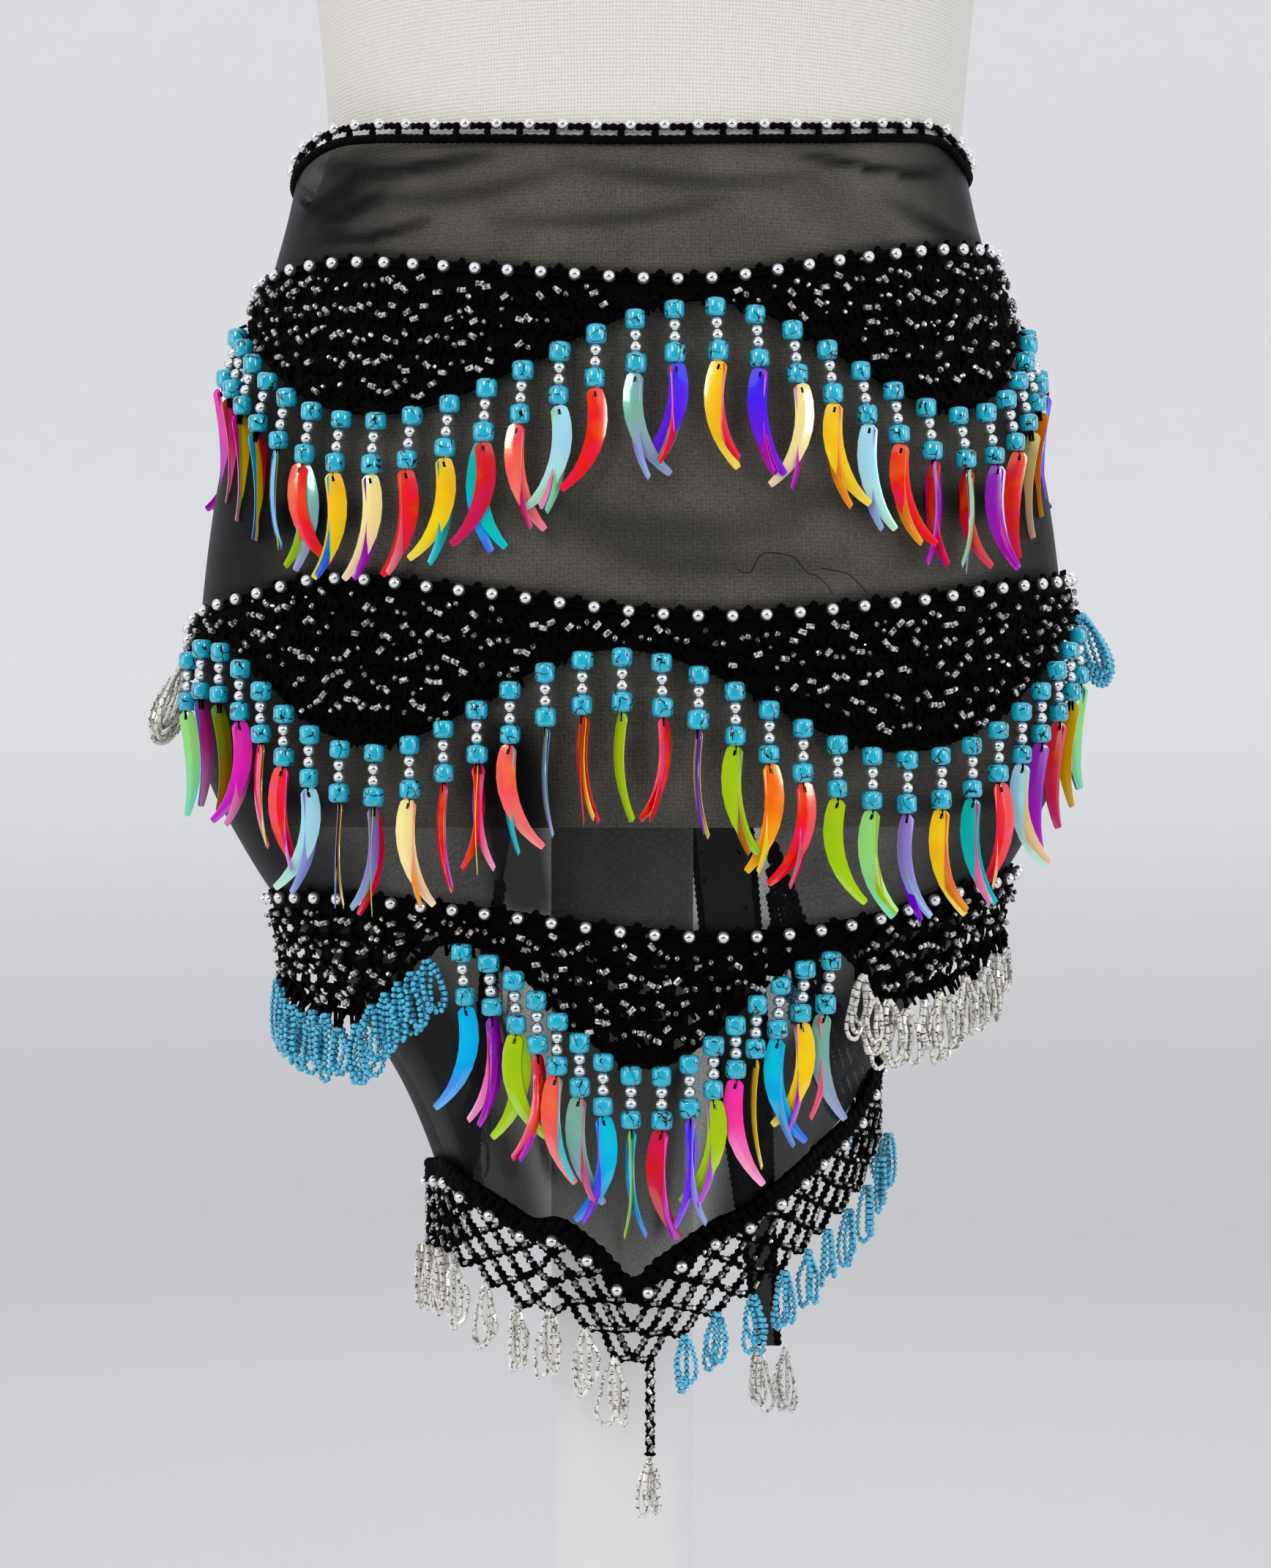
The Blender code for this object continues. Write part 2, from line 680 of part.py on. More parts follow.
def build_tail_loops():
    """Two bunches of bead loops under the tip of each tail."""
    for name, top_x, tip_x, tip_height in TAILS:
        tip = tail_point(0.0, 1.0, top_x, tip_x, tip_height)

        def place(angle, drop=0.0, tip=tip):
            across = -math.radians(angle - 180) * 0.1
            return (tip[0] + across, tip[1], tip[2] - SEAM - STRIP_HEIGHT / 2 - drop)

        fringe(name.replace("tail", "tail_loops"), place, (176.6, 183.4), loop_rings, 0.0035,
               "clear_beads")


# --------------------------------------------------------------------------- build
def clear_scene():
    for thing in list(bpy.data.objects):
        bpy.data.objects.remove(thing, do_unlink=True)
    collection = bpy.data.collections.new("hip_belt_on_form")
    bpy.context.scene.collection.children.link(collection)


def build_all():
    clear_scene()
    build_base()
    build_post()
    build_torso()
    build_chiffon()
    build_waist_edging()
    for name, line, edge, last_column in BANDS:
        build_band(name, line, edge, last_column)
    build_dangles()
    build_end_loops()
    build_hem_net("hem_net_left", -1)
    build_hem_net("hem_net_right", 1)
    build_hem_loops("hem_loops_left", -1, HEM_LOOPS_LEFT, "clear_beads")
    build_hem_loops("hem_loops_right", 1, HEM_LOOPS_RIGHT, "blue_beads")
    build_knot()
    build_tails()
    build_tail_loops()


build_all()
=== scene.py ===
import math
import random

import bmesh
import bpy
import numpy as np
from mathutils import Matrix, Vector


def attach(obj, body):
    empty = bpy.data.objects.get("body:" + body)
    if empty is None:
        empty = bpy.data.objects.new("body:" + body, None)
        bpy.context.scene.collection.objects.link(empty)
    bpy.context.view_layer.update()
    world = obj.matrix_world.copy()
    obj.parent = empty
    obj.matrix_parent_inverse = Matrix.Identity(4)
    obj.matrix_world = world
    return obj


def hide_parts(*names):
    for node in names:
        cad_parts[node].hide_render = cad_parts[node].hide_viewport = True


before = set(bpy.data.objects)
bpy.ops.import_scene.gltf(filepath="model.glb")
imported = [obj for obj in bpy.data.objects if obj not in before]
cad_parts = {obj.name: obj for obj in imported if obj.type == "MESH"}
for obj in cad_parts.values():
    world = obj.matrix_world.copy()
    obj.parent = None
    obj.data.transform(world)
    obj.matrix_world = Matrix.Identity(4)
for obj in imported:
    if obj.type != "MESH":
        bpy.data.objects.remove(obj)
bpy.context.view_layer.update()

bl_info = {
    "name": "Hip Belt on a Dress Form",
    "version": (1, 0, 0),
    "blender": (4, 5, 0),
    "location": "View3D > Sidebar > Hip Belt",
    "description": "Dresses the packed solids of a beaded belly dance hip belt",
    "category": "Add Mesh",
}

SEED = 7


def linear(code):
    """A sRGB hex colour as linear red, green and blue."""
    parts = [int(code[i:i + 2], 16) / 255 for i in (1, 3, 5)]
    return tuple(c / 12.92 if c <= 0.04045 else ((c + 0.055) / 1.055) ** 2.4 for c in parts)


# ------------------------------------------------------------------- the belt's form
BASE_RADIUS, POST_RADIUS, COLLAR_HEIGHT = 0.210, 0.0288, 0.030
FORM_BOTTOM, FORM_TOP = 0.783, 1.532
FIGURE_SHIFT = 0.004         # the figure stands this far right of its post
FIGURE_RADIUS = 0.14         # turns an angle into a rough distance along the cloth
HIP_HEIGHT = 0.832           # widest place of the hips
CLING, CLING_REACH = 0.30, 0.034     # how far the lowest band follows the cloth inward
# A band lies this far off the cloth, is this thick, and stands off further at its edge
LAY, LACE_WALL, LACE_LIFT, CLOTH_WALL = 0.0006, 0.0012, 0.001, 0.001
# The form inside the cloth: at the waist, below it, and how much more behind
FORM_CLEARANCE, FORM_EASE, FORM_BACK_EASE = 0.0016, 0.0030, 0.0050
COLUMN_STEP = 8.75           # degrees between the cloth's upright lines
LAST_COLUMN = math.ceil(180 / COLUMN_STEP)
CURVE_POINTS = 241           # along a curve whose length is measured
CLOTH_END = 175.0            # degrees from the front to each edge behind
WRAP_FLAT, WRAP_AREA = (0.93, 0.43), 0.30    # the part of the scarf that goes round
BEAD_PITCH = 0.0128          # of the silver beads along an edge
EDGING_HEIGHT = 0.0075
STRIP_HEIGHT = 0.0025        # the chain that a fringe hangs from
STRIP_OUT = LAY + LACE_LIFT + LACE_WALL + 0.0005
STRAND_OUT = 0.0034          # middle of a strand, out from the inner side of its chain
LOOP_LENGTH, HEM_LOOPS_LEFT, HEM_LOOPS_RIGHT, CENTRE_DROP = 0.030, 0.027, 0.023, 0.060
# Width and height of a mesh, how many rows, the solid crochet above them and its lap
NET_PITCH, NET_STEP, NET_LEVELS, NET_BAND, NET_LAP = 0.0152, 0.0092, 3, 0.007, 0.002
# How far the net lies off the cloth, its yarn and wall, and its last angle each side
NET_LAY, NET_YARN, NET_WALL, NET_END = 0.0010, 0.0014, 0.0014, 158.0
TAIL_TOP, TAIL_WIDTH, TAIL_TIP_WIDTH, TAIL_PLEAT, TAIL_OUT = 1.0017, 0.036, 0.010, 0.003, 0.004
KNOT_SIZE, KNOT_HEIGHT, KNOT_SINK = (0.026, 0.014, 0.017), 1.0185, 0.0013

# height, half width, front depth, back depth
FIGURE = (
    (0.560, 0.0520, 0.0760, 0.0500), (0.600, 0.0600, 0.0790, 0.0550),
    (0.645, 0.0755, 0.0830, 0.0600), (0.687, 0.0955, 0.0890, 0.0700),
    (0.757, 0.1465, 0.1005, 0.1010), (0.784, 0.1630, 0.1045, 0.1140),
    (0.800, 0.1710, 0.1070, 0.1210), (0.818, 0.1755, 0.1085, 0.1250),
    (0.845, 0.1755, 0.1095, 0.1260), (0.875, 0.1740, 0.1090, 0.1245),
    (0.920, 0.1680, 0.1065, 0.1180), (0.960, 0.1585, 0.1030, 0.1100),
    (1.011, 0.1440, 0.0985, 0.1015), (1.030, 0.1390, 0.0960, 0.0980),
    (1.052, 0.1352, 0.0925, 0.0935), (1.078, 0.1365, 0.0915, 0.0920),
    (1.118, 0.1404, 0.0945, 0.0925), (1.170, 0.1480, 0.1020, 0.0960),
    (1.230, 0.1580, 0.1110, 0.1030), (1.290, 0.1665, 0.1130, 0.1080),
    (1.350, 0.1720, 0.1040, 0.1070), (1.395, 0.1670, 0.0880, 0.0990),
    (1.425, 0.1360, 0.0730, 0.0860), (1.448, 0.0880, 0.0600, 0.0700),
    (1.470, 0.0635, 0.0530, 0.0590), (1.500, 0.0575, 0.0510, 0.0550),
    (1.540, 0.0565, 0.0500, 0.0540),
)
# height, how far the torso rounds in there
FORM_ROUNDING = ((0.783, 0.0130), (0.790, 0.0060), (0.806, 0.0020), (0.832, 0.0))
# height, how far the torso stands in from the cloth on the left
FORM_SLACK = ((1.000, 0.0), (1.060, 0.0110))
# angle, height of the cloth's edge
WAIST = (
    (-175, 1.036), (-95, 1.0385), (-73, 1.0450), (-58, 1.0478), (-48, 1.0465), (-30, 1.0424),
    (0, 1.0390), (30, 1.0424), (48, 1.0470), (62, 1.0499), (77, 1.0445), (95, 1.0430),
    (175, 1.038),
)
HEM = (
    (-175, 0.990), (-169, 0.880), (-160, 0.776), (-149, 0.722), (-138, 0.684), (-125, 0.658),
    (-110, 0.647), (-96, 0.645), (-80, 0.647), (-60, 0.650), (-45, 0.642), (-31, 0.6325),
    (-20, 0.633), (-9, 0.622), (0, 0.611), (9, 0.6195), (22, 0.6305), (34, 0.6365),
    (45, 0.647), (60, 0.6565), (76, 0.669), (90, 0.688), (110, 0.691), (125, 0.700),
    (138, 0.718), (150, 0.747), (161, 0.795), (169, 0.880), (175, 0.990),
)
# middle and half width in degrees, depth
FOLDS = (
    (-122, 19, 0.0042), (-84, 17, 0.0038), (-52, 17, 0.0036), (-22, 15, 0.0026),
    (14, 15, 0.0026), (44, 17, 0.0036), (79, 17, 0.0038), (118, 19, 0.0042),
)
FOLD_TOP, FOLD_REACH = 0.735, 0.085  # height where the folds start, and how soon they are full
# angle, height
ROW_1_LINE = ((-158, 0.9950), (-83, 0.9985), (-49, 0.9988), (-15, 0.9900), (9, 0.9868),
              (31, 0.9961), (55, 1.0057), (83, 1.0109), (158, 1.0060))
ROW_1_EDGE = ((-158, 0.972), (-138, 0.945), (-86, 0.983), (-34, 0.9385), (10.5, 0.9790),
              (47, 0.9425), (88, 0.983), (138, 0.948), (158, 0.975))
ROW_2_LINE = ((-88, 0.8580), (-75, 0.8660), (-55, 0.8722), (-40, 0.8771), (-21, 0.8714),
              (8, 0.8616), (34, 0.8676), (54, 0.8751), (88, 0.8830))
ROW_2_EDGE = ((-88, 0.8420), (-66, 0.8560), (-33, 0.8145), (-2, 0.8495), (34, 0.8120),
              (88, 0.8680))
ROW_3_LINE = ((-88, 0.7534), (-50, 0.7562), (-25, 0.7524), (2, 0.7444), (20, 0.7432),
              (39, 0.7482), (56, 0.7582), (88, 0.7650))
ROW_3_EDGE = ((-88, 0.7230), (-49, 0.7115), (-27.5, 0.7405), (2.5, 0.6945), (33, 0.7370),
              (46, 0.7180), (88, 0.7410))
# band: bead line, lower edge, last angle each side
BANDS = {
    "row_1": (ROW_1_LINE, ROW_1_EDGE, 157.5),
    "row_2": (ROW_2_LINE, ROW_2_EDGE, 87.5),
    "row_3": (ROW_3_LINE, ROW_3_EDGE, 87.5),
}
# band, first and last angle, how many
DANGLES = (
    ("row_1", -155, -93, 9), ("row_1", -86, 86, 31), ("row_1", 93, 155, 9),
    ("row_2", -74, 77, 32),
    ("row_3", -26, 32.2, 16),
)
# name, band, first and last angle, how many bunches, colour
END_LOOPS = (
    ("loops_row_2_left", "row_2", -86, -80, 2, "clear"),
    ("loops_row_2_right", "row_2", 82.5, 88, 2, "aqua"),
    ("loops_row_3_left", "row_3", -80, -32, 9, "aqua"),
    ("loops_row_3_right", "row_3", 38.5, 80, 8, "clear"),
)
# name, middle at its top and at its tip, height of its tip
TAILS = (("tail_left", -0.0142, 0.018, 0.600), ("tail_right", 0.0225, 0.066, 0.546))

# Sequins of each dangle, front one first: a letter for its film, then how it hangs.
# < and > show their face and lean left or right, ( and ) are turned half away,
# and | is seen edge on.
SEQUINS = {
    "row_1": "M<P( M<P( S|P( P|L|Y| A|Y|R| B)L| R>E<L| Y<A( K<U( R<S( Y<T( C<T>A> S>C) "
             "W<G(P(Y( R< E>I) V<R(T| Y>R) V>M)M) K<M( Y>O) W>I) R>O) U(R|M| G(I|R) U>M) "
             "R>O) K)R| O)R)D| V>I) M|A|",
    "row_2": "G< I|P| D(B| M<P( R)L| R>M) W<I( I|Y| L|I|R| K>O) R)M| Y|R|P| S>T) E|I| "
             "R|Y|R| L)L| R(R| V|Y| L>D) O<Y( R<C( L> G>L) I)V| Y>O) T>P) R<O( W>K) U< "
             "C<R( Y( G<B(",
    "row_3": "B< U(P( L>L< R(M( S>T) E>C) A<V( L|A| C>M) V(I| L<U( P> Y| A>B) Y<U( E>R(",
}
# letter: film colour, colour that it turns to towards the tip, a painted sheen of its pearl coat
FILMS = {
    "R": ("#f51f1c", "#f0455a"), "C": ("#d80f38", "#c4577a"), "M": ("#e617b4", "#b020c8"),
    "P": ("#ff77b4", "#f9b4dc"), "S": ("#fb8580", "#fba0a8"), "O": ("#ff7b2c", "#ffb04a"),
    "Y": ("#ffcb3d", "#f4e38a"), "K": ("#f8e6a8", "#fbdcc4"), "L": ("#a9cb18", "#b6d964"),
    "G": ("#a8dc8c", "#8fdcc0"), "D": ("#8d9a2a", "#c47a4a"), "T": ("#3dafa8", "#59c9d4"),
    "A": ("#38c3e6", "#7f8cf0"), "B": ("#58bdf0", "#8fa8f0"), "W": ("#b4dcec", "#c4ecd4"),
    "E": ("#87b0a4", "#a8a0d0"), "I": ("#b09ae4", "#a8c8ec"), "V": ("#5a2ff0", "#a05ae8"),
    "U": ("#9a28b4", "#c060c8"),
}


# ------------------------------------------------------------------------ curve maths
def smooth_value(table, place, column=1):
    """Read a table with a smooth curve that passes through its rows."""
    if place <= table[0][0]:
        return table[0][column]
    if place >= table[-1][0]:
        return table[-1][column]
    last = len(table) - 1
    low = 0
    while table[low + 1][0] <= place:
        low += 1

    def slope(i):
        before, after = table[max(i - 1, 0)], table[min(i + 1, last)]
        return (after[column] - before[column]) / (after[0] - before[0])

    span = table[low + 1][0] - table[low][0]
    u = (place - table[low][0]) / span
    start, end = table[low][column], table[low + 1][column]
    return (start * (2 * u**3 - 3 * u**2 + 1) + slope(low) * span * (u**3 - 2 * u**2 + u)
            + end * (3 * u**2 - 2 * u**3) + slope(low + 1) * span * (u**3 - u**2))


def ease(value, low, high):
    """0 below low, 1 above high, and an S curve between them."""
    u = min(max((value - low) / (high - low), 0.0), 1.0)
    return u * u * (3 - 2 * u)


def wave_value(table, place):
    """Read a table of highs and lows, easing in and out at each of them."""
    if place <= table[0][0]:
        return table[0][1]
    for (start, low), (end, high) in zip(table, table[1:]):
        if place <= end:
            u = (place - start) / (end - start)
            return low + (high - low) * (1 - math.cos(math.pi * u)) / 2
    return table[-1][1]


def fold_at_column(column):
    bulge = 0.0
    for middle, half_width, depth in FOLDS:
        reach = abs(column * COLUMN_STEP - middle) / half_width
        if reach < 1:
            bulge = max(bulge, depth * (1 + math.cos(math.pi * reach)) / 2)
    return bulge


FOLD_COLUMNS = {c: fold_at_column(c) for c in range(-LAST_COLUMN, LAST_COLUMN + 1)}


def fold(angle, height):
    fall = min(max((FOLD_TOP - height) / FOLD_REACH, 0.0), 1.0)
    low = math.floor(angle / COLUMN_STEP)
    share = angle / COLUMN_STEP - low
    return fall * (FOLD_COLUMNS[low] * (1 - share) + FOLD_COLUMNS[low + 1] * share)


def figure_point(angle, height, out):
    """A point on the figure's outline, out from it by a stand-off."""
    half_width = smooth_value(FIGURE, height, 1)
    turn = math.radians(angle)
    depth = smooth_value(FIGURE, height, 2 if math.cos(turn) > 0 else 3)
    normal_x = math.sin(turn) / half_width
    normal_y = math.cos(turn) / depth
    length = math.hypot(normal_x, normal_y)
    return (FIGURE_SHIFT + half_width * math.sin(turn) + out * normal_x / length,
            -depth * math.cos(turn) - out * normal_y / length, height)


def cloth_point(angle, height, out=0.0):
    return figure_point(angle, height, out + fold(angle, height))


def hung_point(angle, height, top, out):
    """A point of something sewn on at top: it rests on the hips and drops below them."""
    resting = min(max(HIP_HEIGHT, height), top)
    if top < HIP_HEIGHT:
        resting -= CLING * min(top - height, CLING_REACH)
    x, y, _ = cloth_point(angle, resting, out)
    return (x, y, height)


def band_levels(band, angle):
    """Heights of a band's bead line and of its lower edge."""
    line, edge, _ = BANDS[band]
    return smooth_value(line, angle), wave_value(edge, angle)


def hem(angle):
    return smooth_value(HEM, angle)


def waist(angle):
    return smooth_value(WAIST, angle)


def travelled(points):
    """How far along a path of points each of them is."""
    steps = np.linalg.norm(np.diff(points, axis=0), axis=1)
    return np.concatenate(([0.0], np.cumsum(steps)))


def even_angles(place, first, last, count):
    """Angles that share the curve place(angle) into equal lengths."""
    angles = np.linspace(first, last, CURVE_POINTS)
    travel = travelled([place(a) for a in angles])
    return list(np.interp(np.linspace(0, travel[-1], count), travel, angles))


def spaced_angles(place, first, last, pitch):
    """Angles about a pitch apart along the curve place(angle)."""
    length = travelled([place(a) for a in np.linspace(first, last, CURVE_POINTS)])[-1]
    return even_angles(place, first, last, max(round(length / pitch), 1) + 1)


def sideways(angle):
    """Level directions out of and along the figure at an angle."""
    inner, outer = figure_point(angle, HIP_HEIGHT, 0.0), figure_point(angle, HIP_HEIGHT, 1.0)
    out = (outer[0] - inner[0], outer[1] - inner[1])
    return Vector((out[0], out[1], 0)), Vector((-out[1], out[0], 0))


def beside(point, angle, away, along_by=0.0):
    out, along = sideways(angle)
    return Vector(point) + out * away + along * along_by


def resampled(path, step):
    """Points about a step apart along a path of points."""
    points = np.array([tuple(p) for p in path])
    travel = travelled(points)
    count = max(int(round(travel[-1] / step)), 1) + 1
    goals = np.linspace(0, travel[-1], count)
    return np.stack([np.interp(goals, travel, points[:, i]) for i in range(3)], axis=1)


# ----------------------------------------------------------------------- mesh makers
def show(name, mesh, material, nodes=(), sharp=None):
    """Make a mesh into a piece that rides on the form. Edges past sharp degrees stay crisp."""
    mesh.materials.append(finish(material))
    mesh.shade_smooth()
    if sharp:
        mesh.set_sharp_from_angle(angle=math.radians(sharp))
    thing = bpy.data.objects.new(name, mesh)
    bpy.context.scene.collection.objects.link(thing)
    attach(thing, "root")
    if nodes:
        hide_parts(*nodes)
    return thing


def from_bmesh(name, shape):
    mesh = bpy.data.meshes.new(name)
    shape.to_mesh(mesh)
    shape.free()
    return mesh


def show_shape(name, shape, material, node_name, sharp=None):
    """Make a bmesh into the piece that stands for one node."""
    return show(name, from_bmesh(name, shape), material, (node_name,), sharp)


def mapped_grid(columns, rows, point, flat, keep=None, closed=False):
    """A grid bent to point(u, v), v running down; its UV map is in metres."""
    shape = bmesh.new()
    bmesh.ops.create_grid(shape, x_segments=columns, y_segments=rows, size=1.0)
    layer = shape.loops.layers.uv.new("cloth")
    for face in shape.faces:
        for loop in face.loops:
            u, v = (loop.vert.co.x + 1) / 2, (1 - loop.vert.co.y) / 2
            loop[layer].uv = (u * flat[0], -v * flat[1])
    if keep:
        gone = []
        for face in shape.faces:
            middle = face.calc_center_median()
            if not keep((middle.x + 1) / 2, (1 - middle.y) / 2):
                gone.append(face)
        bmesh.ops.delete(shape, geom=gone, context='FACES')
    for vert in shape.verts:
        vert.co = point((vert.co.x + 1) / 2, (1 - vert.co.y) / 2)
    if closed:
        bmesh.ops.remove_doubles(shape, verts=shape.verts, dist=0.00001)
    return shape


def unit(shape):
    """A small bmesh as arrays: points, face corners, face sizes."""
    shape.verts.index_update()
    arrays = (np.array([v.co[:] for v in shape.verts]),
              np.array([v.index for f in shape.faces for v in f.verts]),
              np.array([len(f.verts) for f in shape.faces]))
    shape.free()
    return arrays


def joined(name, parts, tones=None):
    """One mesh of many copies. parts holds (unit, places); tones one colour array a part."""
    points, corners, sizes, base = [], [], [], 0
    for (unit_points, unit_corners, unit_sizes), places in parts:
        if not len(places):
            continue
        turns = np.array([np.array(p) for p in places])
        moved = np.einsum("nij,pj->npi", turns[:, :3, :3], unit_points) + turns[:, None, :3, 3]
        shifts = np.arange(len(turns))[:, None] * len(unit_points) + base
        points.append(moved.reshape(-1, 3))
        corners.append((unit_corners[None, :] + shifts).ravel())
        sizes.append(np.tile(unit_sizes, len(turns)))
        base += len(turns) * len(unit_points)
    points, corners, sizes = map(np.concatenate, (points, corners, sizes))
    mesh = bpy.data.meshes.new(name)
    mesh.vertices.add(len(points))
    mesh.vertices.foreach_set("co", points.astype(np.float32).ravel())
    mesh.loops.add(len(corners))
    mesh.polygons.add(len(sizes))
    mesh.polygons.foreach_set("loop_start", (np.cumsum(sizes) - sizes).astype(np.int32))
    mesh.loops.foreach_set("vertex_index", corners.astype(np.int32))
    if tones is not None:
        layer = mesh.attributes.new("film", 'FLOAT_COLOR', 'POINT')
        values = np.concatenate([t.reshape(-1, 3) for t in tones if len(t)])
        values = np.concatenate([values, np.ones((len(values), 1))], axis=1)
        layer.data.foreach_set("color", values.astype(np.float32).ravel())
    mesh.update(calc_edges=True)
    return mesh


def aimed(point, direction, size=(1, 1, 1), roll=0.0):
    """A place whose Z points along a direction."""
    turn = Vector(direction).to_track_quat('Z', 'Y').to_matrix().to_4x4()
    return (Matrix.Translation(point) @ turn @ Matrix.Rotation(roll, 4, 'Z')
            @ Matrix.Diagonal((*size, 1)))


def upright(point, angle, size=(1, 1, 1), lean=0.0, turn=0.0):
    """A place on the figure: X runs along it, Z up, and -Y out."""
    out, along = sideways(angle)
    axes = Matrix((along, -out, Vector((0, 0, 1)))).transposed().to_4x4()
    return (Matrix.Translation(point) @ axes @ Matrix.Rotation(turn, 4, 'Z')
            @ Matrix.Rotation(lean, 4, 'Y') @ Matrix.Diagonal((*size, 1)))


def yarn(name, paths, radius, stitch=0.0, sides=4, swell=0.18):
    """Yarn along paths, as a mesh; a stitch length makes it swell and narrow like chain."""
    curve = bpy.data.curves.new(name, 'CURVE')
    curve.dimensions = '3D'
    curve.bevel_depth = radius
    curve.bevel_resolution = (sides - 4) // 2
    curve.use_fill_caps = True
    for path in paths:
        points = resampled(path, stitch / 2) if stitch else np.array([tuple(p) for p in path])
        spline = curve.splines.new('POLY')
        spline.points.add(len(points) - 1)
        spline.points.foreach_set("co", np.c_[points, np.ones(len(points))].ravel())
        if stitch:
            radii = np.where(np.arange(len(points)) % 2, 1 + swell, 1 - swell)
            spline.points.foreach_set("radius", radii)
    helper = bpy.data.objects.new(name + "_path", curve)
    bpy.context.scene.collection.objects.link(helper)
    graph = bpy.context.evaluated_depsgraph_get()
    mesh = bpy.data.meshes.new_from_object(helper.evaluated_get(graph))
    bpy.data.objects.remove(helper)
    bpy.data.curves.remove(curve)
    mesh.name = name
    mesh.materials.clear()
    return mesh


def copies(name, parts, material, nodes=(), sharp=None, tones=None):
    """A piece made of many copies of small shapes."""
    return show(name, joined(name, parts, tones), material, nodes, sharp)


def crochet(name, paths, radius, stitch=0.0, sides=4, swell=0.18, nodes=()):
    """A piece of black yarn along paths."""
    made = yarn(name, paths, radius, stitch, sides, swell)
    return show(name, made, "yarn", nodes)


def ball(radius, around=12, along=8, size=(1, 1, 1)):
    shape = bmesh.new()
    bmesh.ops.create_uvsphere(shape, u_segments=around, v_segments=along, radius=radius)
    bmesh.ops.scale(shape, vec=size, verts=shape.verts)
    return unit(shape)


def barrel(width, height, sides=14, rounding=0.0, steps=3):
    """A bead turned as a short drum, with its rims rounded."""
    shape = bmesh.new()
    bmesh.ops.create_cone(shape, cap_ends=True, segments=sides, radius1=width / 2,
                          radius2=width / 2, depth=height)
    if rounding:
        rims = [e for e in shape.edges if abs(e.verts[0].co.z - e.verts[1].co.z) < 1e-6]
        bmesh.ops.bevel(shape, geom=rims, offset=rounding, offset_type='OFFSET',
                        affect='EDGES', segments=steps, profile=0.5, material=-1)
    return unit(shape)


# ------------------------------------------------------------------------- materials
def node(tree, kind, values=None, links=None, **settings):
    """Add a shader node with its settings, its sockets' values and its links."""
    made = tree.nodes.new(kind)
    for key, value in settings.items():
        setattr(made, key, value)
    for key, value in (values or {}).items():
        made.inputs[key].default_value = value
    for key, socket in (links or {}).items():
        tree.links.new(socket, made.inputs[key])
    return made


def surface(name, colour, **values):
    """A material and its Principled shader, whose plain numbers sit on its own sockets."""
    material = bpy.data.materials.new(name)
    material.use_nodes = True
    tree = material.node_tree
    shader = tree.nodes["Principled BSDF"]
    shader.inputs["Base Color"].default_value = (*colour, 1)
    for key, value in values.items():
        shader.inputs[key.replace("_", " ")].default_value = value
    return material, tree, shader


def grain(size):
    """Scale of a noise whose spots are about this size in metres."""
    return 1.0 / size


def threads(period):
    """Scale of a Wave texture whose bands repeat at this distance in metres."""
    return 2 * math.pi / (20 * period)


def tint(tree, shader, factor, dark, light):
    """Vary the base colour between two colours."""
    mix = node(tree, "ShaderNodeMix", {6: (*dark, 1), 7: (*light, 1)}, {0: factor},
               data_type='RGBA')
    tree.links.new(mix.outputs[2], shader.inputs["Base Color"])
    return mix


def emboss(tree, shader, height, distance, strength=1.0):
    bump = node(tree, "ShaderNodeBump", {"Strength": strength, "Distance": distance},
                {"Height": height})
    tree.links.new(bump.outputs["Normal"], shader.inputs["Normal"])


def own_place(tree):
    """A piece's own coordinates, in metres."""
    return node(tree, "ShaderNodeTexCoord").outputs["Object"]


def noise(tree, place, size, detail=2.0, roughness=0.5):
    """Cloudy noise whose spots are about this size in metres."""
    return node(tree, "ShaderNodeTexNoise", {"Scale": grain(size), "Detail": detail,
                                             "Roughness": roughness}, {"Vector": place})


def remap(tree, value, low=0.0, high=1.0, to_low=0.0, to_high=1.0, **settings):
    """Turn the values from low to high into the values from to_low to to_high."""
    ends = {"From Min": low, "From Max": high, "To Min": to_low, "To Max": to_high}
    return node(tree, "ShaderNodeMapRange", ends, {"Value": value}, **settings).outputs[0]


def woven_places(tree, across):
    """Places on a cloth laid flat, in metres, and the same stretched across."""
    cloth = node(tree, "ShaderNodeUVMap", uv_map="cloth").outputs["UV"]
    stretch = node(tree, "ShaderNodeMapping", {"Scale": (across, 1.0, 1.0)}, {"Vector": cloth})
    return cloth, stretch.outputs["Vector"]


def scaled(colour, factor):
    return tuple(c * factor for c in colour)


def linen_cloth(colours):
    # Bleached linen stretched over a padded form: plain weave, matt, uneven threads. The
    # real threads are 0.6 mm apart; they are drawn 1.5 mm apart so that they show.
    cream = tuple(colours.linen)
    material, tree, shader = surface("bleached_linen", cream, Roughness=0.92,
                                     Sheen_Weight=0.25, Sheen_Roughness=0.5)
    cloth, stretched = woven_places(tree, 0.50)
    waves = []
    for direction in ('X', 'Y'):
        waves.append(node(tree, "ShaderNodeTexWave", {
            "Scale": threads(0.0015), "Distortion": 1.6, "Detail": 2.0, "Detail Scale": 0.8},
            {"Vector": cloth}, bands_direction=direction).outputs["Fac"])
    weave = node(tree, "ShaderNodeMath", links={0: waves[0], 1: waves[1]}, operation='MAXIMUM')
    slubs = noise(tree, stretched, 0.0018, 3.0)
    both = node(tree, "ShaderNodeMath", {1: 0.42}, {0: slubs.outputs["Fac"]},
                operation='MULTIPLY')
    total = node(tree, "ShaderNodeMath", {1: 0.55}, {0: weave.outputs[0], 2: both.outputs[0]},
                 operation='MULTIPLY_ADD')
    tint(tree, shader, total.outputs[0], scaled(cream, 0.70), scaled(cream, 1.12))
    emboss(tree, shader, total.outputs[0], 0.0005, 0.8)
    return material


